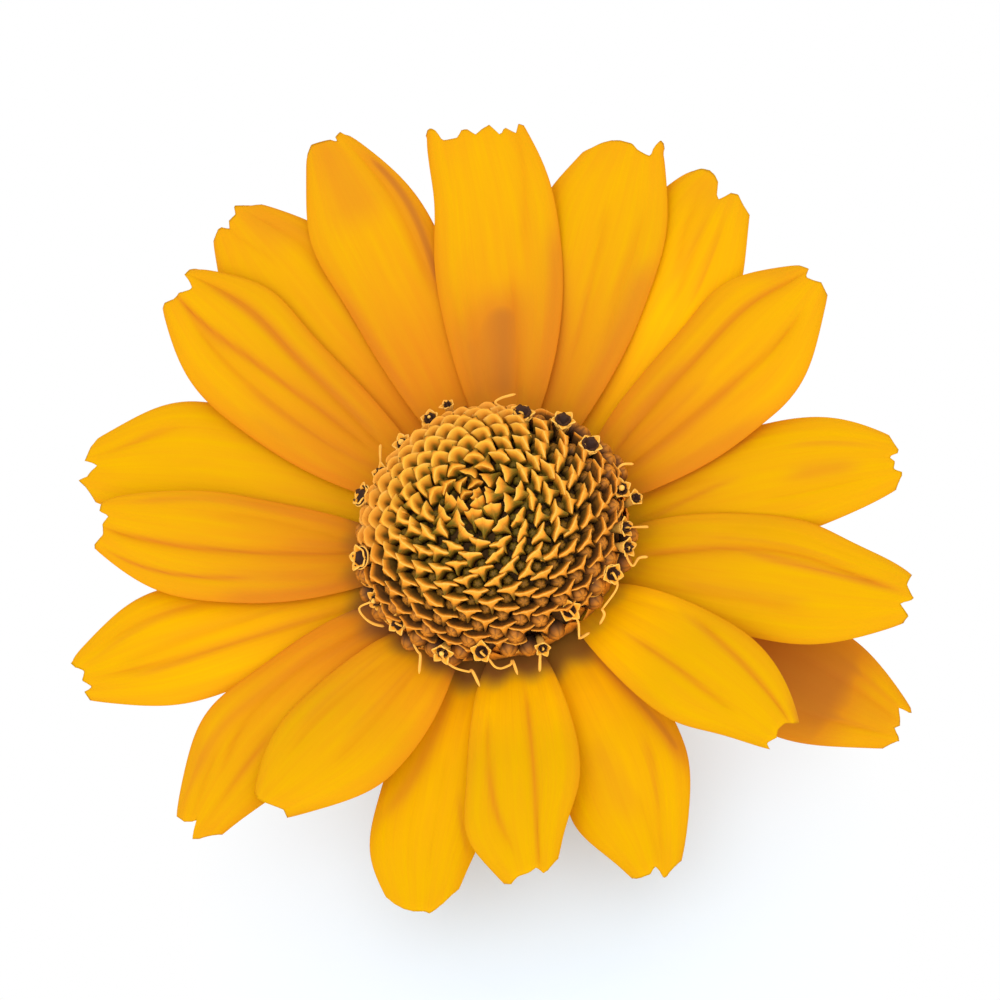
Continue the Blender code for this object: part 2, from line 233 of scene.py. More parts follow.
print("petals")
petalLook = dict(
    rows=100, columns=49, rowCrowding=0.93, thickness=0.30, ringR=9.5, ringZ=7.2, clawShare=0.36,
    clawFullness=0.7, widestAt=0.58, tipFullness=0.85, shoulder=0.78, shoulderSpan=0.17,
    slimSpan=(0.55, 1.0), risePower=0.85, rootLevelStep=0.9, fullLevelStep=1.05, levelRampEnd=0.2,
    marginTaper=8, tipTaper=0.03, rootTaper=0.01, tipRamp=9, cupSpan=(0, 0.5), marginCurl=0.30,
    curlSpan=(0.1, 0.5), waves=(1.2, 2.3), fineWave=0.7, waveHeight=0.10, waveSpan=(0.2, 0.6), pleats=7,
    pleatHeight=0.016, pleatSpan=(0.05, 0.3), fadeIn=(-0.05, 0.08), fadeOut=(-0.10, 0.04),
    creaseWidth=0.05, creaseSpread=0.15, creaseSharp=0.45, creaseToneSharp=0.7, deepCrease=0.3, seed=21,
    yellow=(0.775, 0.445, 0.0), orange=(0.745, 0.257, 0.010), creaseShade=(0.66, 0.21, 0.006),
    paintedLightYellow=(1.0, 0.55, 0.0), rootLight=(0.12, 0.50), lightToward=-115, lightRange=(0.1, 0.85),
    lightSpan=(0.5, 0.95), warmSpan=(0.05, 0.80), warmLoss=0.8, marginShade=0.35, warmTip=0.12,
    paintedShadeColor=(0.66, 0.21, 0.016), deepPaintedShade=(0.40, 0.135, 0.026), shadeShare=0.75,
    contactShadowColor=(0.25, 0.088, 0.028), contactStart=0.09, contactEnd=0.19, contactEndFar=0.14,
    contactPlay=0.015, contactToward=-142, contactRange=(0.1, 0.75), contactFar=0.12,
    contactWaves=7, warmTipSpan=(0.86, 1.0), fineStreaks=(60.0, 2.0, 3.0), softStreaks=(9.0, 2.5, 2.0),
    roughness=(0.48, 0.60), bump=0.2, bumpDepth=0.04, specular=0.03, glow=0.3)

# One row for each petal, clockwise from the far side, with the part's own numbers: azimuth of the
# root, turn of the root and bend of the blade in degrees; length, width and rise of the tip; level
# in the pile; width of the toothed tip as a share; cup. The warm tone is how orange its root is,
# partly its own colour and partly painted shade where the petal lies in shade; light is how much
# painted light brightens its lower half. Slim is how much its two sides lose near the tip and full
# how much they gain at the shoulder, which may stand at a place of its own. The edge gives the
# toothed end as pairs: place across as a share of the half width, and millimetres past the nominal
# end. A crease runs through three places, each given as percent of the length and percent of the
# half width, and has a depth in millimetres; it is also painted darker as shade. A shade is a band
# of painted shade or shadow; it runs in the same way and has a width and a strength in percent.
petals = (
    dict(azimuth=57.5, toe=-1.5, bend=18, length=25.4, width=10.9, rise=6.5, level=2, tip=0.72,
         cup=0.05, warmAndShade=0.85, slim=(0, 0), full=(0.06, -0.12),
         edge=((-0.72, -1.2), (-0.66, -1), (-0.57, -1.75), (-0.46, -1.1), (-0.37, -1.7), (-0.28, -0.6),
               (-0.15, -0.8), (-0.05, -1.1), (0.06, -0.4), (0.15, -0.4), (0.22, -0.9), (0.37, -0.8),
               (0.46, -0.7), (0.5, -0.2), (0.55, 0.4), (0.61, 0.7), (0.67, 0.65), (0.72, 0.3)),
         creases=((5, -33, 25, -23, 48, -22, 0.3), (56, -42, 80, -66, 97, -87, 0.12),
                  (8, 80, 30, 77, 45, 73, 0.12), (10, 40, 28, 50, 45, 53, 0.12)),
         shades=((6, 0, 24, -1, 45, -4, 44, 96), (6, 34, 22, 32, 41, 28, 26, 58),
                 (6, 66, 20, 66, 37, 68, 22, 50), (10, -86, 35, -86, 62, -92, 14, 70),
                 (8, 62, 20, 62, 36, 60, 25, 50), (8, -70, 20, -60, 35, -50, 30, 25))),
    dict(azimuth=39, toe=1, bend=2, length=25, width=10.2, rise=5.9, level=1, tip=0.58, cup=0.05,
         warmAndShade=0.8, slim=(0, 0), full=(0.08, 0.28),
         edge=((-0.6, 0.2), (-0.55, 0.8), (-0.49, 1), (-0.43, 0.4), (-0.37, -0.55), (-0.29, -0.5),
               (-0.16, -0.3), (-0.06, 0.1), (0.16, 0.15), (0.3, 0), (0.42, -0.35), (0.58, -1.3)),
         creases=((28, -10, 55, -3, 80, 7, 0.14), (33, -63, 60, -52, 80, -60, 0.1)),
         shades=((8, 8, 30, 22, 62, 72, 20, 75), (10, -72, 35, -76, 65, -85, 20, 75),
                 (10, -15, 30, -12, 55, 0, 8, 30))),
    dict(azimuth=21, toe=1, bend=10, length=25.3, width=10.8, rise=5.6, level=0, tip=0.5, cup=0.05,
         warmAndShade=0.4, light=0.7, slim=(0.25, -0.4), full=(0, 0.15),
         edge=((-0.5, -1.2), (-0.37, -0.75), (-0.24, -0.2), (-0.09, -0.35), (0, -0.9), (0.04, -1.3),
               (0.07, -0.9), (0.12, 0), (0.2, 0.5), (0.28, 0.7), (0.38, 0.6), (0.5, 0)),
         creases=((68, 13, 83, 30, 97, 43, 0.12), (58, -10, 75, 3, 95, 13, 0.12),
                  (62, -34, 80, -29, 93, -27, 0.14)),
         shades=((8, 22, 40, 42, 78, 90, 20, 50), (62, -31, 75, -31, 88, -33, 6, 35),
                 (62, 9, 78, 9, 92, 8, 6, 30), (92, 0, 96, 0, 105, 0, 60, 35))),
    dict(azimuth=0, toe=2, bend=11, length=24.3, width=11, rise=6.4, level=1, tip=0.22, cup=0.1,
         warmAndShade=0.8, light=0.15, slim=(0.15, -0.15), full=(0.09, 0.2),
         edge=((-0.25, -0.7), (-0.11, -0.35), (-0.04, -0.6), (0.05, -0.9), (0.11, -0.25), (0.2, -0.45)),
         creases=((8, 32, 50, 46, 98, 38, 0.34), (6, -20, 45, -22, 88, -38, 0.28)),
         shades=((8, -32, 28, -28, 60, -28, 9, 65), (8, 28, 25, 47, 50, 45, 10, 65),
                 (45, 46, 75, 46, 93, 46, 5, 55), (8, 2, 20, 4, 50, 8, 7, 45),
                 (8, -85, 30, -85, 55, -90, 14, 45), (85, 75, 92, 70, 98, 60, 15, 45))),
    dict(azimuth=-18.5, toe=-2, bend=-12, length=24.6, width=10.2, rise=5.3, level=0, tip=0.36,
         cup=0.05, warmAndShade=0.35, slim=(0, 0), full=(-0.06, 0.06),
         edge=((-0.35, -0.4), (-0.22, 0.1), (-0.16, 0.1), (-0.08, -0.6), (0.02, -0.5), (0.08, -1),
               (0.14, -0.3), (0.2, -0.25), (0.36, -1.1)),
         creases=((8, -27, 20, -10, 38, 5, 0.14), (52, -33, 70, -33, 88, -30, 0.1),
                  (8, 30, 20, 29, 36, 27, 0.1)),
         shades=((10, 30, 28, 48, 55, 92, 11, 85), (12, -36, 25, -10, 45, 12, 5, 55),
                 (62, 0, 76, 2, 88, 2, 16, 55), (62, 50, 78, 48, 92, 47, 6, 45))),
    dict(azimuth=-40.7, toe=-2, bend=-6, length=26.4, width=10.6, rise=6, level=1, tip=0.33, cup=0.08,
         warmAndShade=0.3, slim=(0, 0), full=(0.06, -0.16),
         edge=((-0.5, -0.1), (-0.47, 0.15), (-0.41, -0.45), (-0.36, -0.3), (-0.26, 0.15), (-0.16, -0.3),
               (-0.08, -0.8), (-0.03, 0), (0.02, 0.15), (0.17, -0.8)),
         creases=((10, 3, 38, 33, 94, 16, 0.32), (16, -60, 40, -50, 68, -46, 0.14),
                  (33, 70, 60, 68, 84, 66, 0.08)),
         shades=((45, 27, 66, 20, 90, 17, 6, 85), (6, 0, 25, 28, 50, 30, 6, 50),
                 (80, 22, 90, 20, 98, 18, 14, 55), (25, -42, 50, -38, 70, -35, 8, 35),
                 (30, 50, 55, 50, 80, 45, 4, 35))),
    dict(azimuth=-56, toe=0.5, bend=-5, length=27.6, width=10.2, rise=-1.5, level=0, tip=0.33, cup=0.05,
         warmAndShade=1, slim=(0.15, 0), full=(0.07, 0.08),
         edge=((-0.35, -1), (-0.2, 0.15), (-0.12, -0.1), (-0.02, -0.7), (0.04, -0.4), (0.12, -0.7),
               (0.2, -1.25), (0.26, -0.4), (0.3, -0.2), (0.4, -1.4)),
         creases=((68, -50, 85, -46, 98, -43, 0.14), (58, 30, 78, 30, 96, 27, 0.14)),
         shades=((20, 0, 55, 0, 86, 0, 190, 100), (70, -38, 82, -38, 95, -38, 7, 60),
                 (70, 57, 82, 57, 95, 57, 7, 50), (75, 0, 85, 0, 100, 0, 35, 50))),
    dict(azimuth=-69.5, toe=6, bend=-13, length=23.2, width=9.4, rise=7.6, level=2, tip=0.27, cup=0.14,
         warmAndShade=0.1, slim=(0.18, 0), full=(-0.15, 0),
         edge=((-0.34, -0.6), (-0.28, -0.6), (-0.21, -1.1), (-0.09, -0.7), (0.02, -1.15), (0.11, -1.15),
               (0.2, -0.7), (0.3, -0.5)),
         creases=((40, 76, 67, 54, 97, 57, 0.24), (26, -20, 50, -20, 78, -34, 0.22),
                  (12, 50, 25, 60, 40, 72, 0.06)),
         shades=((35, 72, 60, 55, 95, 56, 6, 50), (20, -20, 42, -20, 68, -25, 5, 35),
                 (90, 85, 96, 90, 102, 90, 12, 60))),
    dict(azimuth=-90, toe=2.5, bend=-20, length=23.9, width=10.4, rise=4.6, level=0, tip=0.38, cup=0.06,
         warmAndShade=0.2, light=0.3, slim=(0.2, 0.15), full=(0.16, -0.06),
         edge=((-0.4, -0.6), (-0.33, -0.3), (-0.25, -0.2), (-0.08, -0.25), (0.02, -0.8), (0.08, -0.3),
               (0.13, 0.35), (0.2, 0.25), (0.42, -1.2)),
         creases=((50, 50, 72, 38, 97, 34, 0.14), (68, 7, 83, 10, 95, 13, 0.1),
                  (20, -63, 35, -67, 52, -78, 0.08)),
         shades=((10, 46, 45, 72, 66, 95, 13, 90), (45, -30, 60, -25, 78, -20, 25, 30),
                 (20, -60, 40, -75, 58, -90, 6, 35), (50, 42, 62, 40, 80, 36, 5, 35))),
    dict(azimuth=-112, toe=0, bend=1, length=22, width=9.4, rise=6.9, level=1, tip=0.42, cup=0.12,
         warmAndShade=0.1, slim=(0, 0.22), full=(0.22, -0.16),
         edge=((-0.45, -0.6), (-0.34, -0.2), (-0.19, -0.65), (-0.04, -0.75), (0.09, -1.1),
               (0.15, -0.85), (0.22, -0.5), (0.3, -0.75), (0.45, -2)),
         creases=((20, 23, 55, 20, 98, 36, 0.24), (28, -63, 58, -53, 88, -30, 0.2)),
         shades=((27, 22, 60, 20, 95, 26, 5, 40), (50, -62, 66, -48, 80, -35, 5, 45))),
    dict(azimuth=-133, toe=-2, bend=17, length=24, width=9.4, rise=5, level=0, tip=0.42, cup=0.08,
         warmAndShade=0.15, light=0.35, slim=(0, 0.12), full=(0.18, -0.08),
         edge=((-0.42, -2.1), (-0.36, -1.4), (-0.27, -0.9), (-0.15, -0.6), (0.02, -0.5), (0.11, -0.3),
               (0.2, -0.6), (0.3, -1.2), (0.42, -2.5)),
         creases=((40, 5, 65, 7, 85, 7, 0.08), (35, -40, 60, -36, 85, -30, 0.06)),
         shades=((12, -30, 38, -32, 66, -85, 14, 60), (55, 42, 68, 62, 78, 90, 5, 55))),
    dict(azimuth=-150, toe=-2.5, bend=-10, length=20.4, width=10.4, rise=7, level=2, tip=0.3, cup=0.14,
         warmAndShade=0.6, slim=(0, 0.2), full=(0, 0),
         edge=((-0.38, -0.4), (-0.17, 0), (-0.06, -0.1), (0.08, -0.4), (0.2, -0.75), (0.3, -0.5),
               (0.38, -0.9)),
         creases=((20, 20, 42, 22, 70, 27, 0.14), (22, -43, 50, -48, 78, -43, 0.14)),
         shades=((20, -62, 45, -62, 65, -62, 6, 35), (18, 5, 40, 7, 60, 8, 5, 35))),
    dict(azimuth=-171, toe=-3, bend=33, length=26.4, width=9.2, rise=7.2, level=1, tip=0.36, cup=0.1,
         warmAndShade=1, slim=(0, 0.25), full=(0.2, 0), shoulder=0.64,
         edge=((-0.5, -1.7), (-0.4, -1.4), (-0.22, -1.05), (-0.12, -1.25), (-0.07, -1.5), (-0.04, -0.4),
               (0, 0.1), (0.13, -0.1), (0.39, -1.45)),
         creases=((12, -27, 45, -42, 77, -20, 0.24), (55, 4, 70, 13, 90, 17, 0.18),
                  (70, -46, 80, -42, 93, -38, 0.14)),
         shades=((10, -5, 22, -15, 36, -30, 6, 50), (25, -48, 65, -60, 95, -80, 7, 45),
                 (70, -70, 76, -70, 84, -70, 20, 45), (60, 10, 72, 14, 82, 15, 8, 55))),
    dict(azimuth=-191.3, toe=-2, bend=5, length=26.8, width=10, rise=6, level=0, tip=0.36, cup=0.05,
         warmAndShade=0.35, light=0.4, slim=(0, 0), full=(0.2, 0.07),
         edge=((-0.36, -0.3), (-0.3, 0.15), (-0.18, -0.1), (-0.06, -0.7), (0.06, -0.25), (0.17, -0.85),
               (0.24, -0.1), (0.4, -0.3)),
         creases=((12, 30, 48, 27, 92, 18, 0.24), (56, -53, 75, -57, 92, -55, 0.14),
                  (40, -8, 63, -5, 88, 0, 0.12)),
         shades=((8, -20, 30, -22, 64, -90, 11, 60), (22, 28, 52, 26, 85, 38, 6, 55),
                 (30, -5, 50, -12, 75, -15, 5, 30), (58, -58, 78, -48, 95, -35, 6, 35))),
    dict(azimuth=-206, toe=1.5, bend=-21, length=23.8, width=9.4, rise=6.8, level=1, tip=0.4, cup=0.06,
         warmAndShade=0.85, slim=(0, 0), full=(0, 0.07),
         edge=((-0.42, -1.2), (-0.32, -0.1), (-0.14, -0.25), (-0.09, -1.1), (0.04, -0.8), (0.17, -1.1),
               (0.36, -0.6), (0.47, -0.8)),
         creases=((8, -6, 45, 4, 97, 22, 0.34), (48, 58, 70, 63, 94, 78, 0.2),
                  (12, -40, 33, -57, 60, -57, 0.12)),
         shades=((10, -75, 40, -84, 90, -70, 9, 60), (10, -4, 60, 9, 88, 14, 5, 80),
                 (8, -20, 20, -20, 35, -15, 12, 50), (45, 55, 68, 63, 93, 80, 4, 90),
                 (8, 75, 25, 85, 55, 90, 15, 75), (20, 50, 35, 50, 55, 55, 12, 35))),
    dict(azimuth=-229, toe=-4, bend=30, length=26.4, width=11.2, rise=5.6, level=0, tip=0.44, cup=0.05,
         warmAndShade=0.35, slim=(0.15, 0), full=(0.2, 0),
         edge=((-0.45, -1.2), (-0.34, -0.6), (-0.14, -0.1), (-0.07, -0.8), (-0.03, -1.1), (0.05, -0.5),
               (0.12, -0.2), (0.17, 0.55), (0.34, -0.25), (0.5, -0.9)),
         creases=((70, -60, 82, -46, 97, -40, 0.16),),
         shades=((10, 72, 42, 45, 92, 90, 6, 70), (15, -35, 40, -40, 65, -95, 6, 40),
                 (74, -60, 80, -52, 90, -40, 6, 40))),
    dict(azimuth=-245, toe=1, bend=-14, length=25.6, width=9.8, rise=6.6, level=1, tip=0.34, cup=0.08,
         warmAndShade=0.9, slim=(-0.3, 0), full=(0.2, 0.1),
         edge=((-0.45, -0.1), (-0.27, 0.25), (-0.17, 0.1), (-0.12, -0.7), (-0.08, -1.3), (0.04, -0.8),
               (0.14, -0.9), (0.29, -0.5), (0.4, -0.8)),
         creases=((12, -36, 55, -52, 99, -55, 0.32), (16, -13, 55, -5, 99, 27, 0.3),
                  (18, 27, 50, 33, 88, 30, 0.22)),
         shades=((18, -50, 50, -54, 92, -50, 8, 85), (25, -18, 60, -2, 98, 27, 6, 75),
                 (12, 20, 35, 33, 60, 36, 6, 65), (35, 70, 45, 70, 55, 70, 8, 40),
                 (72, 15, 85, 20, 97, 26, 8, 45))),
    dict(azimuth=-262.5, toe=2.5, bend=-2, length=27, width=10.5, rise=6.1, level=0, tip=0.4, cup=0.05,
         warmAndShade=1, slim=(-0.15, 0), full=(0.2, 0.16),
         edge=((-0.48, -0.7), (-0.23, 0.4), (-0.14, 0.8), (-0.08, 0.1), (0.06, 0), (0.1, -0.55),
               (0.2, 0), (0.27, 0.1), (0.42, -0.3)),
         creases=((62, -46, 82, -60, 100, -45, 0.16), (80, -9, 90, 5, 100, 38, 0.1)),
         shades=((14, -48, 45, -55, 75, -70, 9, 80), (50, -65, 70, -72, 92, -74, 7, 40),
                 (82, -50, 92, -50, 104, -50, 40, 50))),
    dict(azimuth=-281.3, toe=1.5, bend=8, length=27.7, width=9.5, rise=6.7, level=1, tip=0.4, cup=0.08,
         warmAndShade=1, slim=(0, 0), full=(0.08, 0.2),
         edge=((-0.42, -0.4), (-0.32, 0.3), (-0.2, 0), (-0.17, -0.45), (-0.1, 0), (0.1, 0.3),
               (0.23, 0.5), (0.38, 0.1), (0.5, -0.9)),
         creases=((46, -52, 75, -60, 96, -66, 0.2),),
         shades=((42, -62, 65, -76, 95, -80, 14, 100), (10, -75, 20, -75, 36, -72, 25, 50),
                 (72, 0, 88, 5, 105, 5, 55, 65), (12, 87, 35, 90, 58, 95, 10, 60))),
)


# Half the width towards each margin, from the narrow claw over the widest place to the toothed end.
def petalHalfWidth(petal, along, across):
    look = petalLook
    opening = np.sin(np.pi / 2 * np.clip(along / look["widestAt"], 0, 1)) ** look["clawFullness"]
    root = look["clawShare"] + (1 - look["clawShare"]) * opening
    closing = np.clip((along - look["widestAt"]) / (1 - look["widestAt"]), 0, 1)
    rounding = np.clip(np.cos(np.pi / 2 * closing), 0, 1) ** look["tipFullness"]
    end = petal["tip"] + (1 - petal["tip"]) * rounding
    slim = np.where(across < 0, *petal["slim"]) * smooth(along, *look["slimSpan"]) ** 1.5
    shoulder = petal.get("shoulder", look["shoulder"])
    full = np.where(across < 0, *petal["full"]) * bell(along - shoulder, look["shoulderSpan"])
    return petal["width"] / 2 * np.where(along < look["widestAt"], root, end) * (1 - slim + full)


# Distance across from the line through a row's three places, and its fading at both ends.
def petalLine(along, across, row):
    stations, places = np.array(row[0:6:2]) / 100, np.array(row[1:6:2]) / 100
    line = np.polyval(np.polyfit(stations, places, 2), np.clip(along, stations[0], stations[2]))
    start = smooth(along, *(stations[0] + np.array(petalLook["fadeIn"])))
    return across - line, start * (1 - smooth(along, *(stations[2] + np.array(petalLook["fadeOut"]))))


# Depth of the creases at each point, and how strongly each point lies in one (0 to 1).
def petalCreases(petal, along, across):
    look = petalLook
    depth = np.zeros_like(along)
    strength = np.zeros_like(along)
    for row in petal["creases"]:
        gap, fade = petalLine(along, across, row)
        sharp, wide = bell(gap, look["creaseWidth"]), bell(gap, look["creaseSpread"])
        depth += row[6] * fade * blend(wide, sharp, look["creaseSharp"])
        strength += row[6] / look["deepCrease"] * fade * blend(wide, sharp, look["creaseToneSharp"])
    return depth, np.clip(strength, 0, 1)


# Painted shade: soft brown bands in the valleys, and painted shadows beside the petals that lie above.
def petalShades(petal, along, across):
    clear = np.ones_like(along)
    for row in petal["shades"]:
        gap, fade = petalLine(along, across, row)
        clear *= 1 - row[7] / 100 * fade * bell(gap, row[6] / 100)
    return 1 - clear


# Middle surface of a petal, how strongly each point lies in a crease, and its place along the petal.
def petalSurface(petal, station, across, phases):
    look = petalLook
    reach = np.interp(across * petal["tip"], *zip(*petal["edge"]))
    along = station + reach / petal["length"] * station ** look["tipRamp"]
    root = math.radians(petal["azimuth"])
    start = math.radians(petal["azimuth"] + petal["toe"])
    bend = math.radians(petal["bend"])
    heading = start + bend * along
    curveR = petal["length"] / bend
    x = look["ringR"] * math.cos(root) + curveR * (np.sin(heading) - math.sin(start))
    y = look["ringR"] * math.sin(root) - curveR * (np.cos(heading) - math.cos(start))
    side = petalHalfWidth(petal, along, across) * across
    step = blend(look["rootLevelStep"], look["fullLevelStep"], smooth(along, 0, look["levelRampEnd"]))
    z = look["ringZ"] + petal["rise"] * along ** look["risePower"] + petal["level"] * step
    z -= petal["cup"] * petal["width"] / 2 * across ** 2 * smooth(along, *look["cupSpan"])
    z -= look["marginCurl"] * np.abs(across) ** 5 * smooth(along, *look["curlSpan"])
    depth, strength = petalCreases(petal, along, across)
    z -= depth
    coarse, fine = (np.sin(2 * np.pi * count * along + phase)
                    for count, phase in zip(look["waves"], phases))
    wave = coarse * across + look["fineWave"] * fine * np.abs(across) ** 3
    z += look["waveHeight"] * wave * smooth(along, *look["waveSpan"])
    pleat = np.cos(np.pi * look["pleats"] * 2 * across + phases[2])
    z += look["pleatHeight"] * pleat * smooth(along, *look["pleatSpan"])
    return np.stack((x - np.sin(heading) * side, y + np.cos(heading) * side, z), axis=-1), strength, along


def petalPart(petal, rng):
    look = petalLook
    station, across = bladeGrid(look, crowded=True)
    station = station ** look["rowCrowding"]
    phases = rng.uniform(0, 2 * np.pi, 4)
    middle, crease, along = petalSurface(petal, station, across, phases)
    taper = roundOff(1 - np.abs(across) ** look["marginTaper"])
    taper *= roundOff(1 - station, look["tipTaper"]) * roundOff(station, look["rootTaper"])
    points, faces, keep = bladeShell(middle, look["thickness"] / 2 * taper)
    # Orange towards the root, partly the petal's own colour and partly painted shade on petals that lie in
    # shade, with painted shade along the curled margins and more orange at the tip.
    warmAndShade = petal["warmAndShade"] * (1 - look["warmLoss"] * smooth(along, *look["warmSpan"]))
    warmAndShade = warmAndShade + look["marginShade"] * np.abs(across) ** 7
    warmAndShade += look["warmTip"] * smooth(along, *look["warmTipSpan"])
    # Painted shadow of the disc over the petal roots: longest and strongest for petals on the side towards
    # contactToward, short and faint on the far side.
    near = smooth(math.cos(math.radians(petal["azimuth"] - look["contactToward"])), *look["contactRange"])
    # Painted light: the roots of petals on the side towards lightToward, and the lower half of petals given
    # their own light, are painted a paler, brighter yellow.
    bright = smooth(math.cos(math.radians(petal["azimuth"] - look["lightToward"])), *look["lightRange"])
    ragged = along + look["contactPlay"] * np.sin(look["contactWaves"] * across + phases[3])
    contactEnd = blend(look["contactEndFar"], look["contactEnd"], near)
    contactShadow = blend(look["contactFar"], 1.0, near) * (1 - smooth(ragged, look["contactStart"], contactEnd))
    light = bright * (1 - smooth(along, *look["rootLight"]))
    light += petal.get("light", 0) * (1 - smooth(along, *look["lightSpan"]))
    tones = dict(crease=crease, warmAndShade=np.clip(warmAndShade, 0, 1), light=np.clip(light, 0, 1),
                 shade=petalShades(petal, along, across), contactShadow=contactShadow)
    uv = np.stack((across / 2 + 0.5, along), axis=-1).reshape(-1, 2)[keep]
    return newPart(points, faces, uv, **{name: tone.ravel()[keep] for name, tone in tones.items()})


def petalMaterial():
    look = petalLook
    material, tree = plantMaterial("petalYellow")
    fine = streaks(tree, *look["fineStreaks"])
    soft = streaks(tree, *look["softStreaks"])
    shade = toneOf(tree, "shade")
    uneven = remap(tree, soft, 0.3, 0.7, -0.12, 0.14)
    # The warm tone: orange that is partly the petal's own colour and partly painted shade.
    warmAndShade = addNode(tree, "ShaderNodeMath", {0: toneOf(tree, "warmAndShade"), 1: uneven},
                   operation="ADD", use_clamp=True).outputs[0]
    # Painted light: a paler yellow where the roots and some shaded petals are brightened.
    color = mixColors(tree, toneOf(tree, "light"), look["yellow"], look["paintedLightYellow"])
    color = mixColors(tree, warmAndShade, color, look["orange"])
    color = paintLayers(tree, color, look, (
        # Painted shade: the creases are darker, as shade falls in them; the fine orange streaks are veins.
        (toneOf(tree, "crease"), 0.0, 1.0, 0.6, "creaseShade"), (fine, 0.45, 0.75, 0.16, "orange"),
        # Painted shade and shadow in the shade bands, deepest where they are strongest.
        (shade, 0.0, 1.0, look["shadeShare"], "paintedShadeColor"), (shade, 0.75, 1.0, 0.5, "deepPaintedShade"),
        # Painted shadow of the disc on the petal roots.
        (toneOf(tree, "contactShadow"), 0.0, 1.0, 0.9, "contactShadowColor")))
    closeMaterial(tree, color, fine, look)
    return material


petalPaint = petalMaterial()
rng = np.random.default_rng(petalLook["seed"])
for number, petal in enumerate(petals, start=1):
    makePiece(f"petal{number:02d}", [petalPart(petal, rng)], petalPaint, f"ray_{number:02d}")


print("disc")
discLook = dict(
    radius=11.5, widestZ=11.2, domeHeight=7.6, domePower=2.3, slideSide=0.15, slideFar=-2.7, slideNear=0.40,
    slideCorner=0.9, cornerAt=30, slideFrom=0.15, count=290, rimPoints=60, crowding=1.2, steps=400,
    slopeStep=0.01, rowShare=0.866, clearing=1.12, seed=11)

# Span, crest, breadth, free and lean are shares of the distance to the next floret, heights are
# millimetres. Closed is for the shut scales in the middle, ripe for those at the rim, hood for those
# that stand over their buds towards the far side, and far for the low ones at the back.
scaleLook = dict(
    columns=21, crowdedMiddle=1.35, closedSpan=0.62, span=0.70, ripeSpan=0.50, closedCrest=0.04, crest=0.44,
    ripeCrest=0.52, bow=0.12, hoodBow=0.44, closedFree=0.05, free=0.38, closedBreadth=0.62, breadth=0.18,
    cusp=0.42, cuspWidth=0.11, closedTall=0.95, tall=0.92, ripeTall=0.26, farTall=0.50, sideDrop=0.40,
    hoodDrop=0.55, peak=0.16, closedSlope=0.85, slope=0.55, fold=0.30, base=-0.85, lean=0.10,
    closedLean=0.26, closedFrom=(0.008, 0.07), ripeFrom=(0.50, 0.82), steepFrom=(0.10, 0.55),
    hoodToward=104, hoodRange=(0.10, 0.60), hoodFrom=(0.06, 0.28), farRange=(0.0, 0.8), farFrom=(0.35, 0.8),
    turnPlay=13, heightPlay=0.18, closedPlay=0.20, wavePlay=0.05, tonePlay=(0.96, 1.0),
    innerShares=(0.08, 0.26, 0.44, 0.66, 0.87), steepShares=(0.62, 0.68, 0.78, 0.88, 0.96),
    innerTones=(0.05, 0.24, 0.50, 0.78, 0.92), steepTones=(0.0, 0.03, 0.10, 0.30, 0.66),
    ripeTones=(1.0, 0.5, 0.5, 0.7, 0.85), outerSteps=(0.10, 0.35, 0.68, 1.0),
    footTones=((0.12, 0.45), (0.5, 0.2), (1.0, 0.0)), greenUpTo=(0.05, 0.50),
    rimHighlight=(1.0, 0.62, 0.15), gold=(1.0, 0.43, 0.045), middleGold=(1.0, 0.55, 0.050),
    amber=(0.92, 0.34, 0.025), brown=(0.19, 0.072, 0.016), olive=(0.26, 0.20, 0.018),
    hollowShade=(0.034, 0.018, 0.010), grain=1400.0, roughness=(0.4, 0.6), bump=0.3, bumpDepth=0.04,
    specular=0.12, glow=0.32)

footLook = dict(
    count=60, rows=12, columns=9, rootR=10.0, tipR=11.0, rootZ=8.2, tipZ=11.4, farRise=1.7, rowStep=0.8,
    rowGap=0.35, bulge=0.35, width=2.7, taper=2.2, curl=0.25, keel=0.10, play=0.45, turnPlay=0.2,
    thickness=0.14, rootTone=0.10, tipTone=0.72, marginTone=0.25)

budLook = dict(
    columns=25, rows=9, lobes=5, radius=0.33, ripeRadius=0.53, ripeFrom=(0.30, 0.74), top=-0.30,
    ripeTop=1.0, stretch=1.05, groove=0.09, grooveDrop=0.05, furrowWidth=0.55, firstTilt=5, lastTilt=124,
    radiusPlay=0.06, topPlay=0.08, sunk=0.5, sunkUpTo=(0.02, 0.08), dimple=0.06, greenUpTo=(0.10, 0.60),
    ridge=(0.62, 0.22, 0.020), body=(0.18, 0.06, 0.010), dark=(0.036, 0.018, 0.010),
    green=(0.12, 0.10, 0.010), grain=2200.0, roughness=(0.35, 0.55), bump=0.4, bumpDepth=0.04,
    specular=0.1, glow=0.0)

hollowLook = dict(
    depth=1.05, rows=40, sides=96, skirt=((10.55, 10.6), (10.2, 9.9), (9.9, 9.3), (9.7, 8.9)),
    dark=(0.05, 0.026, 0.012), brown=(0.14, 0.07, 0.02), grain=1800.0, roughness=(0.8, 0.8), bump=0.5,
    bumpDepth=0.05, specular=0.1, glow=0.0)


# Radius and height of the dome, from its top (0) to its widest place (1).
def domePoint(turn):
    angle = math.pi / 2 * turn
    radius = discLook["radius"] * math.sin(angle) ** (2 / discLook["domePower"])
    rise = max(math.cos(angle), 0.0) ** (2 / discLook["domePower"])
    return radius, discLook["widestZ"] + discLook["domeHeight"] * rise


# Area of the dome from the top down to each step of its meridian.
def domeAreas():
    meridian = [domePoint(step / discLook["steps"]) for step in range(discLook["steps"] + 1)]
    area = [0.0]
    for (r0, z0), (r1, z1) in zip(meridian, meridian[1:]):
        area.append(area[-1] + math.pi * (r0 + r1) * math.hypot(r1 - r0, z1 - z0))
    return np.array(area)


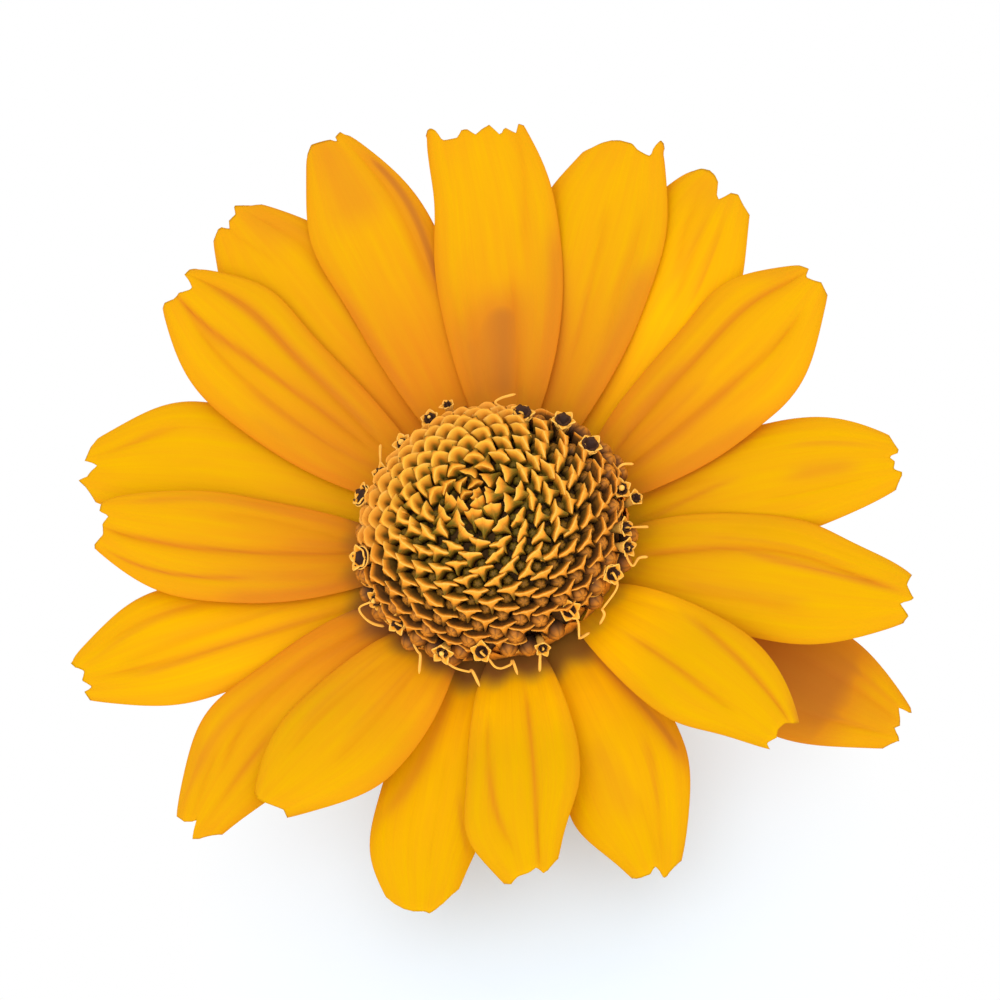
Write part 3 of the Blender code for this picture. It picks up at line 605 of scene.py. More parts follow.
# How far a place of the dome has slid: its rim is drawn in on the far side and at the right.
def domeSlide(turn, azimuth):
    far = (1 + np.sin(azimuth)) / 2
    away = blend(discLook["slideNear"], discLook["slideFar"], far)
    corner = math.radians(discLook["cornerAt"])
    inward = discLook["slideCorner"] * np.clip(np.cos(azimuth - corner), 0, 1) ** 2
    slide = (discLook["slideSide"] - inward * math.cos(corner), away - inward * math.sin(corner), 0 * far)
    return np.stack(slide, axis=-1) * smooth(turn, discLook["slideFrom"], 1.0)


# A place on the dome, with the direction straight out of it and the one up its slope.
def domeFrame(turn, azimuth):
    r0, z0 = domePoint(max(turn - discLook["slopeStep"], 0.0))
    r1, z1 = domePoint(min(turn + discLook["slopeStep"], 1.0))
    radius, height = domePoint(turn)
    run, rise = np.array((r1 - r0, z1 - z0)) / math.hypot(r1 - r0, z1 - z0)
    outward, up = levelFrame(azimuth)[0], np.array((0.0, 0.0, 1.0))
    point = outward * radius + up * height + domeSlide(turn, azimuth)
    return point, up * run - outward * rise, -outward * run - up * rise


# Places of the florets: a golden-angle spiral, more crowded towards the top. The pitch is the distance
# between neighbors, and rowShare the part of it that lies between one row and the next.
def floretPlaces():
    areas = domeAreas()
    turns = np.linspace(0, 1, len(areas))
    places = []
    total = discLook["count"] + discLook["rimPoints"] / 2
    for index in range(discLook["count"]):
        order = (index + 0.5) / total
        share = order ** discLook["crowding"]
        room = areas[-1] * discLook["crowding"] * order ** (discLook["crowding"] - 1) / total
        turn = float(np.interp(share, areas / areas[-1], turns))
        point, normal, upward = domeFrame(turn, index * goldenAngle)
        pitch = math.sqrt(room / discLook["rowShare"])
        places.append(dict(point=point, normal=normal, upward=upward, share=share, pitch=pitch))
    return places


# Angle and distance of the florets around each one, seen along its own normal, and the angle of the
# gap between two florets of the next row out, where the keel of its scale points.
def findNeighbors(places):
    points = np.array([place["point"] for place in places])
    for place in places:
        offsets = points - place["point"]
        away = np.linalg.norm(offsets, axis=1)
        near = (away > 0.01) & (away < 2 * place["pitch"])
        out = -place["upward"]
        side = np.cross(place["normal"], out)
        place["away"] = away[near]
        place["around"] = np.arctan2(offsets[near] @ side, offsets[near] @ out)
        close = np.sort(place["around"][place["away"] < 1.5 * place["pitch"]])
        gaps = [(first + second) / 2 for first, second in zip(close, close[1:]) if second - first < 1.7]
        place["keelTurn"] = float(np.clip(min(gaps, key=abs), -0.6, 0.6)) if gaps else 0.0


# What shapes a scale by its place: how closed, ripe, far, hooded and steep it is, and its directions
# along the keel and across it.
def scaleTraits(place, rng):
    look = scaleLook
    share, radius = place["share"], discLook["radius"]
    x, y, _ = place["point"]
    away = math.hypot(x, y)
    closed = 1 - smooth(share, *look["closedFrom"])
    far = smooth(y / radius, *look["farRange"]) * smooth(share, *look["farFrom"])
    toward = math.radians(look["hoodToward"])
    hood = smooth((x * math.cos(toward) + y * math.sin(toward)) / max(away, 0.1), *look["hoodRange"])
    hood *= smooth(away / radius, *look["hoodFrom"]) * (1 - closed)
    steep = (1 - hood) * smooth(share, *look["steepFrom"])
    turn = place["keelTurn"] + math.radians(rng.uniform(-1, 1) * look["turnPlay"] * (1 + 2 * closed))
    out = -place["upward"]
    keel = out * math.cos(turn) + np.cross(place["normal"], out) * math.sin(turn)
    return dict(closed=closed, ripe=smooth(share, *look["ripeFrom"]), far=far, hood=hood, steep=steep,
                turn=turn, keel=keel, flank=np.cross(place["normal"], keel))


# How far a scale can reach out from its crest before it meets the nearest florets ahead.
def roomAhead(place, turn, across, crest, free):
    room = np.full_like(across, 9.0)
    for around, away in zip(place["around"], place["away"]):
        ahead = away * math.cos(around - turn)
        miss = across - away * math.sin(around - turn)
        hit = (np.abs(miss) < free) & (ahead > 0.2 * place["pitch"])
        gap = ahead - np.sqrt(np.clip(free ** 2 - miss ** 2, 0, None)) - crest
        room = np.where(hit, np.minimum(room, gap), room)
    return room


# The rows of a scale from its bud over the crest and down to the next buds, and how tall it is. Each
# row runs from wing to wing: way out, way across, height and tone. The tone is partly the scale's own
# colour and partly painted light and shade: dark low in the hollows, darker down the outer face, in
# the middle of the hoods and on the steep scales, and brightest at the crest and on the hood wings.
def scaleRows(place, traits, rng):
    look, pitch = scaleLook, place["pitch"]
    closed, ripe, hood, steep = (traits[name] for name in ("closed", "ripe", "hood", "steep"))

    def setting(name, forRipe=False):
        value = look[name[0].lower() + name[1:]]
        value = blend(value, look["ripe" + name], ripe) if forRipe else value
        return blend(value, look["closed" + name], closed)

    spread = np.linspace(-1, 1, look["columns"])
    spot = np.sign(spread) * np.abs(spread) ** look["crowdedMiddle"]
    edge = np.abs(spot)
    across = spot * setting("Span", True) * pitch
    crest = pitch * (setting("Crest", True) - blend(look["bow"], look["hoodBow"], hood) * edge ** 2.3)
    wave = np.sin(3.5 * spot + rng.uniform(0, 6.3)) * rng.uniform(0.3, 1)
    crest = crest + pitch * look["wavePlay"] * wave
    room = roomAhead(place, traits["turn"], across, crest, setting("Free") * pitch)
    breadth = look["cusp"] * bell(across / pitch, look["cuspWidth"])
    breadth = pitch * (breadth + setting("Breadth") * (1 - edge) ** 0.8)
    breadth = np.maximum(np.minimum(breadth, room), 0.02 * pitch)
    tall = setting("Tall", True) * blend(1.0, look["farTall"], traits["far"])
    tall *= 1 + rng.uniform(-1, 1) * blend(look["heightPlay"], look["closedPlay"], closed)
    drop = blend(look["sideDrop"], look["hoodDrop"], hood)
    top = tall * (1 - drop * blend(edge ** blend(2, 2.6, hood), edge, closed))
    top = top + look["peak"] * (1 - ripe) * (1 - hood) * bell(edge, 0.15)
    top = top + 0.05 * np.sin(5 * spot + rng.uniform(0, 6.3))

    shares, tones = (blend(np.array(look["inner" + name]), np.array(look["steep" + name]), steep)
                     for name in ("Shares", "Tones"))
    tones = tones * blend(1.0, np.array(look["ripeTones"]), ripe * (1 - hood))
    heights = (np.full_like(top, look["base"]), np.full_like(top, -0.45), 0.12 * top, 0.58 * top,
               top - 0.07)
    rows = []
    for part, height, tone in [*zip(shares, heights, tones), (1.0, top, blend(1.0, 0.94, hood))]:
        tone = (tone * (1 - 0.45 * hood * (1 - tone) * bell(edge, 0.35))
                + hood * 0.5 * (1 - tone) * edge ** 2)
        rows.append((crest * part, across * part, height, tone))
    fold = look["fold"] * np.minimum(edge / 0.3, 1.0)
    for step in look["outerSteps"]:
        ahead = breadth * step
        low = top - setting("Slope") * ahead - fold * step * np.minimum(breadth, 0.3 * pitch) - 0.02
        tone = 1.0 - 0.55 * np.clip(ahead / (0.42 * pitch), 0, 1) - 0.16 * step
        rows.append((crest + ahead + 0.03, across, low, tone))
    ahead, _, last, _ = rows[-1]
    for lower, tone in look["footTones"]:
        height = blend(last, np.full_like(last, look["base"]), lower)
        rows.append((ahead + 0.03 + 0.03 * lower, across, height, tone * np.ones_like(top)))
    return rows, tall


# One scale: a thin scoop around the outer side of its bud. Its crest runs from wing to wing, the inner
# face falls to the bud and the outer one to the next buds, with a folded keel that ends in a cusp.
def scalePart(place, rng):
    look = scaleLook
    traits = scaleTraits(place, rng)
    rows, tall = scaleRows(place, traits, rng)
    lean = blend(look["lean"] * (1 - traits["ripe"]), look["closedLean"], traits["closed"]) * place["pitch"]
    points = [place["point"] + np.outer(ahead - lean * np.clip(height / tall, 0, 1) ** 1.5, traits["keel"])
              + np.outer(sideways, traits["flank"]) + np.outer(height, place["normal"])
              for ahead, sideways, height, _ in rows]
    columns = look["columns"]
    faces = gridFaces(len(rows), columns, upAndOver=True)
    faces.append(tuple(row * columns for row in range(len(rows))))
    faces.append(tuple(row * columns + columns - 1 for row in reversed(range(len(rows)))))
    tone = np.concatenate([row[3] for row in rows]) * rng.uniform(*look["tonePlay"])
    middle = 1 - smooth(place["share"], *look["greenUpTo"])
    return newPart(np.concatenate(points), faces, height=tone, middle=middle)


# The outermost scales: pointed blades that stand around the foot of the disc, up to its rim, darker towards
# the root.
def footScalePart(azimuth, row, rng):
    look = footLook
    station, across = bladeGrid(look)
    outward, sideways = levelFrame(azimuth)
    tipZ = look["tipZ"] + row * look["rowStep"] + look["play"] * rng.uniform(-1, 1)
    tipZ += look["farRise"] * max(0, math.sin(azimuth))
    radius = blend(look["rootR"], look["tipR"], station) - row * look["rowGap"]
    radius += look["bulge"] * np.sin(np.pi * station) - look["curl"] * across ** 2 * (1 - station)
    radius += look["keel"] * bell(across, 0.2)
    half = look["width"] / 2 * (1.03 - station ** look["taper"])
    middle = radius[..., None] * outward + (half * across)[..., None] * sideways
    middle += station[..., None] * domeSlide(1.0, azimuth)
    middle[..., 2] = blend(look["rootZ"], tipZ, station)
    taper = roundOff(1 - np.abs(across) ** 8) * roundOff(1 - station, 0.08)
    points, faces, keep = bladeShell(middle, look["thickness"] / 2 * taper, outward)
    tone = blend(look["rootTone"], look["tipTone"], station) + look["marginTone"] * np.abs(across) ** 3
    return newPart(points, faces, height=np.clip(tone, 0, 1).ravel()[keep], middle=0.0)


# A closed floret: a dome of five segments with furrows between them.
def budPart(place, rng):
    look, share = budLook, place["share"]
    ripe = smooth(share, *look["ripeFrom"])
    radius = place["pitch"] * blend(look["radius"], look["ripeRadius"], ripe)
    radius *= 1 + look["radiusPlay"] * rng.uniform(-1, 1)
    top = blend(look["top"], look["ripeTop"], ripe) + look["topPlay"] * rng.uniform(-1, 1)
    top -= look["sunk"] * (1 - smooth(share, *look["sunkUpTo"]))
    spin = rng.uniform(0, 2 * math.pi)
    side = np.cross(place["normal"], place["upward"])
    around = np.linspace(0, 2 * math.pi, look["columns"], endpoint=False)
    furrow = bell(np.sin(look["lobes"] / 2 * around), look["furrowWidth"])
    points = []
    for row, tilt in enumerate(np.radians(np.linspace(look["firstTilt"], look["lastTilt"], look["rows"]))):
        ring = radius * math.sin(tilt) * (1 - look["groove"] * furrow * min(1.0, math.sin(tilt) * 1.3))
        height = top - radius * look["stretch"] * (1 - math.cos(tilt))
        height = height - look["grooveDrop"] * furrow * math.sin(tilt) - look["dimple"] * (row == 0)
        points.append(place["point"] + np.outer(ring * np.cos(around + spin), side)
                      + np.outer(ring * np.sin(around + spin), place["upward"])
                      + np.outer(height, place["normal"]))
    depth = np.repeat(np.linspace(0, 1, look["rows"]), look["columns"])
    return newPart(np.concatenate(points), tubeFaces(look["rows"], look["columns"]), depth=depth,
                   furrow=np.tile(furrow, look["rows"]), middle=1 - smooth(share, *look["greenUpTo"]))


# The dark ground between the florets, down to the narrow foot of the disc: its near-black colour is painted
# shade in the gaps between them.
def hollowPart():
    look = hollowLook
    around = np.linspace(0, 2 * math.pi, look["sides"], endpoint=False)
    rings = []
    for row in range(look["rows"] + 1):
        turn = max(row / look["rows"], 0.004)
        radius, height = domePoint(turn)
        normal = domeFrame(turn, 0.0)[1] * look["depth"]
        rings.append((max(radius - normal[0], 0.02), height - normal[2], domeSlide(turn, around)))
    rings += [(radius, height, domeSlide(1.0, around)) for radius, height in look["skirt"]]
    points = [slide + levelRing(radius, height, around) for radius, height, slide in rings]
    faces = [tuple(reversed(face)) for face in tubeFaces(len(rings), look["sides"])]
    return newPart(np.concatenate(points), faces)


def scaleMaterial():
    look = scaleLook
    material, tree = plantMaterial("chaffScale")
    height = toneOf(tree, "height")
    noise = speckle(tree, look["grain"])
    middle = remap(tree, toneOf(tree, "middle"), 0.0, 1.0, 0.05, 0.85)
    lower = mixColors(tree, middle, look["brown"], look["olive"])
    # The height tone is partly the scale's own colour and partly painted light and shade: near black in the
    # hollows, olive and brown low down, gold higher up.
    lower = mixColors(tree, remap(tree, height, 0.0, 0.28), look["hollowShade"], lower)
    color = mixColors(tree, remap(tree, height, 0.34, 0.66), lower, look["amber"])
    upper = mixColors(tree, toneOf(tree, "middle"), look["gold"], look["middleGold"])
    color = mixColors(tree, remap(tree, height, 0.60, 0.88), color, upper)
    # Painted highlight along the crest.
    color = paintLayers(tree, color, look, ((height, 0.90, 0.99, 0.75, "rimHighlight"),
                                            (noise, 0.5, 0.78, 0.3, "amber")))
    closeMaterial(tree, color, noise, look)
    return material


def budMaterial():
    look = budLook
    material, tree = plantMaterial("discBud")
    noise = speckle(tree, look["grain"])
    depth = toneOf(tree, "depth")
    # Painted shade: the bud darkens from its top down into the hollow between the scales. It is also darker
    # along its furrows.
    color = paintLayers(tree, look["ridge"], look, (
        (depth, 0.05, 0.55, 1.0, "body"), (noise, 0.35, 0.7, 0.5, "body"),
        (toneOf(tree, "middle"), 0.0, 1.0, 0.85, "green"), (toneOf(tree, "furrow"), 0.2, 1.0, 0.5, "dark"),
        (depth, 0.30, 0.75, 0.95, "dark")))
    closeMaterial(tree, color, noise, look)
    return material


def hollowMaterial():
    material, tree = plantMaterial("discShadeHollow")
    noise = speckle(tree, hollowLook["grain"])
    # Painted shade: near black to dark brown.
    color = mixColors(tree, noise, hollowLook["dark"], hollowLook["brown"])
    closeMaterial(tree, color, noise, hollowLook)
    return material


# One row for each open floret: azimuth of the mouth and its distance from the axis, tilt in degrees
# above level, size, how far it stands out of the disc towards the viewer, height and width of the dark
# tube in its mouth, size of the pale stigma, and the style's way as (outward, sideways, up).
openFlorets = (
    dict(azimuth=88.7, radius=10.25, tilt=66, tube=0.25, tubeR=1.1, stigma=0.14),
    dict(azimuth=79, radius=10.7, tilt=60, size=0.7, tube=0.2),
    dict(azimuth=106, radius=10, tilt=68, tube=0.2, stigma=0.26),
    dict(azimuth=123.8, radius=9.94, tilt=50, lift=1.2, tube=0.3, tubeR=1.2,
         style=((0.9, -1.1, -0.8), (1.5, -1.9, -1.4), (2.1, -2.8, -2))),
    dict(azimuth=136.1, radius=10.81, tilt=45, size=1.15, lift=1.6, tube=0.2, tubeR=1.7),
    dict(azimuth=165, radius=10.8, tilt=52, size=1.15, lift=2.6, tube=0.1, tubeR=1.7),
    dict(azimuth=-174, radius=11.1, tube=0.3, stigma=0.22,
         style=((1.5, -0.7, -0.7), (1.7, 0, -1.1), (1.4, 0.8, -1.6), (0.8, 1.4, -2))),
    dict(azimuth=-160, radius=11.2, tilt=52, tube=0.05, tubeR=1.45,
         style=((-0.3, 1.4, -0.6), (0.4, 1.8, -0.9), (0.7, 2.4, -1.3), (0.8, 2.7, -1.6), (2, 3.5, -2))),
    dict(azimuth=-137, radius=11.8, tilt=35, tube=0.1, stigma=0.22,
         style=((0.6, 0.5, -0.6), (0.8, 1.3, -0.9), (0.7, 2.2, -1.3), (0.5, 2.4, -1.6), (1.5, 3.3, -2))),
    dict(azimuth=-121, radius=11.4, tilt=55, size=1, tube=0, tubeR=1.25,
         style=((0.5, 0.5, -0.5), (1, 0.9, -0.8), (1.1, 1.4, -1.1), (0.7, 2.1, -1.4), (0.3, 2.2, -1.7),
                (1.4, 2.6, -2))),
    dict(azimuth=-97, radius=12.3, tilt=38, size=0.75, tube=0.2, style=((-0.1, -0.4, -1.1), (1, -1.1, -2))),
    dict(azimuth=-80, radius=10.8, tilt=55, size=1, tube=0, tubeR=1.3,
         style=((0.9, 0, -0.7), (1.8, -0.7, -1.1), (1.8, -0.7, -1.6), (1.8, 0.2, -2))),
    dict(azimuth=-57, radius=11.7, tilt=48, tube=0.1, tubeR=1.5,
         style=((0.7, -0.7, -0.6), (0.4, -2.5, -0.9), (0.2, -2.7, -1.3), (0.5, -3, -1.6), (0.4, -3.8, -2))),
    dict(azimuth=-45, radius=12, tilt=25, size=0.9, tube=0.3,
         style=((0, -0.5, -0.7), (0.6, -1.1, -1.1), (0.8, -0.2, -1.6), (1.4, 0.2, -2))),
    dict(azimuth=42.7, radius=9.23, tilt=60, size=1.15, lift=3.4, tube=0.45, tubeR=1.5,
         style=((0.4, 1.3, -0.7), (0.8, 2.8, -1.1), (1.5, 2.7, -1.6), (2.3, 1.7, -2))),
    dict(azimuth=22.6, radius=10.13, tilt=60, size=1.1, lift=2.9, tube=0.35, tubeR=1.35),
    dict(azimuth=4.7, radius=10.2, tilt=58, size=1.15, lift=2.6, tube=0.35, tubeR=1.4),
    dict(azimuth=-20, radius=11.2, tilt=62, tube=0.15, tubeR=1.3, stigma=0.26,
         style=((-0.2, 1.5, -0.3), (0.4, 2.3, -0.6), (1.3, 2.4, -1.2))),
    dict(azimuth=-25, radius=12.3, tilt=48, size=0.8, tube=0.25),
    dict(azimuth=-37, radius=11.4, tilt=20, size=0.95, tube=0.4, style=((0.9, 0.5, -1.1), (1.6, 0.9, -2))),
)
floretLook = dict(
    mouthZ=13.7, tilt=42, size=1.0, lift=0.75, liftTurn=67, throat=0.56, depth=2.1, reachIn=3.5, columns=30,
    lobes=5, lobeLength=0.54, lengthPlay=0.25, lobeWidth=0.78, lobeThickness=0.13, lobeRows=9,
    lobeColumns=9, flare=(5, 80), play=0.35, cupping=0.098, tube=0.5, tubeR=0.44, toothHeight=0.36,
    stigmaRings=9, styleRoot=(-0.4, 0.25), styleWidth=0.115, styleThickness=0.07, styleEnds=(0.85, 1.15),
    styleSwell=(0.5, 0.95), stylePoint=0.04, styleSides=8, styleSteps=40, seed=5,
    pale=(1.0, 0.60, 0.12), orange=(0.86, 0.33, 0.014), brown=(0.12, 0.042, 0.012),
    dark=(0.040, 0.016, 0.009), grain=2000.0, roughness=(0.4, 0.6), bump=0.25, bumpDepth=0.03,
    specular=0.12, glow=0.15)


# A mouth's place, the direction of the floret, two directions across it, and outward.
def floretFrame(floret):
    look = floretLook
    tilt, turn = math.radians(floret.get("tilt", look["tilt"])), math.radians(look["liftTurn"])
    outward, sideways = levelFrame(math.radians(floret["azimuth"]))
    up = np.array((0.0, 0.0, 1.0))
    mouth = outward * floret["radius"] + up * look["mouthZ"]
    mouth = mouth + np.array((0.0, -math.cos(turn), math.sin(turn))) * floret.get("lift", look["lift"])
    axis = outward * math.cos(tilt) + up * math.sin(tilt)
    return mouth, axis, np.cross(axis, sideways), sideways, outward


# How far a rim is raised around its ring, times the lift of the ring.
def levelRim(around):
    return np.zeros_like(around)


def toothedRim(around):
    return np.cos(floretLook["lobes"] * around)


def splitRim(around):
    return np.cos(2 * around)


# A closed surface of rings around the axis; each ring is (radius, height, lift of its rim, dark).
def ringPart(mouth, axis, first, second, rings, rim, pale):
    columns = floretLook["columns"]
    around = np.linspace(0, 2 * math.pi, columns, endpoint=False)
    points = [mouth + np.outer(radius * np.cos(around), first) + np.outer(radius * np.sin(around), second)
              + np.outer(height + lift * rim(around), axis) for radius, height, lift, _ in rings]
    dark = np.repeat([ring[3] for ring in rings], columns)
    return newPart(np.concatenate(points), tubeFaces(len(rings), columns), pale=pale, dark=dark)


# A pointed lobe that curls out from the mouth.
def lobePart(mouth, axis, radial, tangent, size, rng):
    look = floretLook
    station, across = np.meshgrid(np.linspace(0, 1, look["lobeRows"]),
                                  np.linspace(-1, 1, look["lobeColumns"]), indexing="ij")
    lean = np.radians(blend(*look["flare"], np.linspace(0, 1, look["lobeRows"]) ** 0.7))
    lean += rng.uniform(-1, 1) * look["play"]
    length = look["lobeLength"] * rng.uniform(1 - look["lengthPlay"], 1 + look["lengthPlay"])
    stride = size * length / (look["lobeRows"] - 1)
    outward = look["throat"] * size + np.concatenate(([0], np.cumsum(np.sin(lean[1:])))) * stride
    rise = np.concatenate(([0], np.cumsum(np.cos(lean[1:])))) * stride
    half = (look["lobeWidth"] / 2 * size
            * ((1 - station) ** 0.75 * (1 + 0.35 * np.sin(np.pi * station)) + 0.03))
    fold = look["cupping"] * size * across ** 2 * (1 - station)
    middle = (mouth + outward[:, None, None] * radial + rise[:, None, None] * axis
              + (half * across)[..., None] * tangent + fold[..., None] * (axis - radial))
    thick = look["lobeThickness"] / 2 * size * (0.8 + 0.5 * np.abs(across) ** 3)
    thick = thick * roundOff(1 - np.abs(across) ** 10) * roundOff(1 - station, 0.1)
    points, faces, keep = bladeShell(middle, thick, axis)
    pale = np.clip(0.05 + 0.9 * np.abs(across) ** 3 + 0.4 * station ** 2, 0, 1).ravel()[keep]
    return newPart(points, faces, pale=pale, dark=0.0)


# A flat band along a smooth way through the given places.
def stylePart(mouth, axis, places):
    look = floretLook
    knots = np.array([*(mouth + axis * way for way in look["styleRoot"]), *places])
    knots = np.concatenate((2 * knots[:1] - knots[1:2], knots, 2 * knots[-1:] - knots[-2:-1]))
    way = []
    for step in np.linspace(0, len(knots) - 3 - 1e-6, look["styleSteps"]):
        share = step - int(step)
        a, b, c, d = knots[int(step):int(step) + 4]
        way.append(0.5 * (2 * b + (c - a) * share + (2 * a - 5 * b + 4 * c - d) * share ** 2
                          + (3 * b - a - 3 * c + d) * share ** 3))
    way = np.array(way)
    tangent = np.gradient(way, axis=0)
    tangent /= np.linalg.norm(tangent, axis=1, keepdims=True)
    flat = np.cross(tangent, (0.06, 0.04, 1.0))
    flat /= np.linalg.norm(flat, axis=1, keepdims=True)
    upright = np.cross(flat, tangent)
    around = np.linspace(0, 2 * math.pi, look["styleSides"], endpoint=False)
    share = np.linspace(0, 1, len(way))
    size = blend(*look["styleEnds"], smooth(share, *look["styleSwell"]))
    size = size * np.sqrt(np.clip((1 - share) / look["stylePoint"], 0.05, 1))
    wide = (look["styleWidth"] * size[:, None] * np.cos(around))[..., None]
    thick = (look["styleThickness"] * size[:, None] * np.sin(around))[..., None]
    rings = way[:, None] + wide * flat[:, None] + thick * upright[:, None]
    return newPart(rings, tubeFaces(len(way), look["styleSides"]), pale=0.55, dark=0.0)


# One open floret: its outer tube, the lobes around the mouth, the dark toothed tube inside, and the
# stigma and style where it has them.
def floretParts(floret, rng):
    look = floretLook
    mouth, axis, first, second, outward = floretFrame(floret)
    size, tube, lobes = floret.get("size", look["size"]), floret.get("tube", look["tube"]), look["lobes"]
    wide = look["tubeR"] * size * floret.get("tubeR", 1.0)
    throat = max(look["throat"] * size, wide + 0.06)
    # The outer tube darkens down into its throat and towards its foot as painted shade; the toothed tube
    # inside is dark in its own colour.
    outer = ((0.24, -look["depth"], 0, 0.5), (0.30, -1.3, 0, 0.3), (0.42 * size, -0.7, 0, 0.1),
             (throat, -0.15, 0, 0), (throat + 0.07, -0.02, 0, 0), (throat + 0.05, 0.06, 0, 0),
             (throat - 0.04, 0.05, 0, 0), (throat * 0.8, -0.2, 0, 0.5), (throat * 0.6, -0.6, 0, 0.9),
             (0.05, -0.7, 0, 1))
    parts = [ringPart(mouth, axis, first, second, outer, levelRim, 0.75)]
    spin = rng.uniform(0, 2 * math.pi / lobes)
    for angle in spin + 2 * math.pi * np.arange(lobes) / lobes:
        radial = first * math.cos(angle) + second * math.sin(angle)
        tangent = second * math.cos(angle) - first * math.sin(angle)
        parts.append(lobePart(mouth, axis, radial, tangent, size, rng))
    inner = ((0.2, -0.8, 0, 1), (wide, -0.1, 0, 1), (wide * 1.05, tube * 0.5, 0, 1),
             (wide, tube * 0.85, 0, 1), (wide * 0.88, tube + 0.03, look["toothHeight"] / 2, 0.75),
             (wide * 0.7, tube - 0.15, 0.02, 0.95), (wide * 0.4, tube - 0.35, 0, 1),
             (0.03, tube - 0.4, 0, 1))
    parts.append(ringPart(mouth, axis, first, second, inner, toothedRim, 0.3))
    if floret.get("stigma"):
        ball = floret["stigma"]
        rings = [(ball * math.sin(turn), -ball * 0.9 * math.cos(turn), 0.06 * ball * math.sin(turn), 0)
                 for turn in np.linspace(0.1, math.pi - 0.1, look["stigmaRings"])]
        center = mouth + axis * (tube + 0.45 * ball)
        parts.append(ringPart(center, axis, first, second, rings, splitRim, 1.0))
    if floret.get("style"):
        places = [mouth + outward * out + second * side + np.array((0.0, 0.0, up))
                  for out, side, up in floret["style"]]
        parts.append(stylePart(mouth, axis, places))
    return parts


def floretMaterial():
    look = floretLook
    material, tree = plantMaterial("floretYellow")
    noise = speckle(tree, look["grain"])
    dark = toneOf(tree, "dark")
    color = paintLayers(tree, look["orange"], look, (
        (toneOf(tree, "pale"), 0.0, 1.0, 1.0, "pale"), (noise, 0.5, 0.75, 0.4, "orange"),
        (dark, 0.0, 0.5, 1.0, "brown"), (dark, 0.5, 1.0, 1.0, "dark")))
    closeMaterial(tree, color, noise, look)
    return material


# Leaves out the closed florets that stand where an open one does.
def clearPlaces(places):
    points = np.array([place["point"] for place in places])
    kept = np.ones(len(places), bool)
    for floret in openFlorets:
        mouth, axis, *_ = floretFrame(floret)
        behind = np.clip((mouth - points) @ axis, -0.5, floretLook["reachIn"])
        away = np.linalg.norm(points - mouth + behind[:, None] * axis, axis=1)
        kept &= away > discLook["clearing"]
    return [place for place, keep in zip(places, kept) if keep]


places = floretPlaces()
findNeighbors(places)
places = clearPlaces(places)
rng = np.random.default_rng(discLook["seed"])
makePiece("discShadeHollows", [hollowPart()], hollowMaterial(), "disc")
scales = [scalePart(place, rng) for place in places]
for index in range(footLook["count"]):
    azimuth = 2 * math.pi * (index + footLook["turnPlay"] * rng.uniform(-1, 1)) / footLook["count"]
    scales.append(footScalePart(azimuth, index % 2, rng))
makePiece("discScales", scales, scaleMaterial(), "disc")
makePiece("discBuds", [budPart(place, rng) for place in places], budMaterial(), "disc")
rng = np.random.default_rng(floretLook["seed"])
florets = [part for floret in openFlorets for part in floretParts(floret, rng)]
makePiece("openFlorets", florets, floretMaterial(), "disc")


print("bracts and cup")
bractLook = dict(
    rows=30, columns=17, thickness=0.5, point=0.06, rootPhase=0.22, fullness=0.8, keel=0.25, groove=0.05,
    green=(0.16, 0.26, 0.05), pale=(0.30, 0.38, 0.12), vein=(0.10, 0.17, 0.04),
    veins=(26.0, 1.6, 2.0), roughness=(0.45, 0.65), bump=0.4, bumpDepth=0.08, specular=0.3, glow=0.1)

# Each place is (radius, height); the tips are taken in turn.
innerBracts = dict(count=10, shift=0.25, width=4.6, root=(7.0, 5.0), knee=(10.5, 5.6), tips=((14.2, 5.5),))
outerBracts = dict(count=9, shift=0.6, width=4.4, root=(3.4, 2.2), knee=(9.5, 5.2),
                   tips=((14.8, 0.35), (14.8, 1.65), (14.8, 2.15)))

cupLook = dict(
    sides=120, steps=6, ribs=20, ribHeight=0.05, ribFrom=(0.2, 1.5), brown=(0.10, 0.045, 0.012),
    shadeFrom=5.4, shadeTo=6.2, green=(0.16, 0.26, 0.05), pale=(0.30, 0.38, 0.12), grain=700.0,
    roughness=(0.6, 0.6), bump=0.4, bumpDepth=0.08, specular=0.3, glow=0.1,
    profile=((2.3, 0.0), (2.9, 1.0), (4.6, 2.5), (7.2, 4.2), (9.3, 5.4), (10.0, 6.1), (9.9, 6.5),
             (9.2, 6.6), (9.2, 8.6)))


# One bract of a row: a keeled blade that goes out from its root over the knee to its tip.
def bractPart(row, index):
    look = bractLook
    station, across = bladeGrid(look, crowded=True)
    first, second, third = (1 - station) ** 2, 2 * station * (1 - station), station ** 2
    radius, height = (first * a + second * b + third * c
                      for a, b, c in zip(row["root"], row["knee"], row["tips"][index % len(row["tips"])]))
    share = np.clip(np.sin(np.pi * blend(look["rootPhase"], 1, station)), 0, 1) ** look["fullness"]
    half = row["width"] / 2 * blend(look["point"], 1, share)
    height = height - look["keel"] * (1 - np.abs(across)) * (1 - station)
    height -= look["groove"] * bell(across, 0.08)
    outward, sideways = levelFrame(2 * math.pi * (index + row["shift"]) / row["count"])
    middle = radius[..., None] * outward + (half * across)[..., None] * sideways
    middle[..., 2] = height
    taper = roundOff(1 - np.abs(across) ** 6) * roundOff(1 - station, 0.06)
    points, faces, keep = bladeShell(middle, look["thickness"] / 2 * taper)
    uv = np.stack((across / 2 + 0.5, station), axis=-1).reshape(-1, 2)[keep]
    return newPart(points, faces, uv)


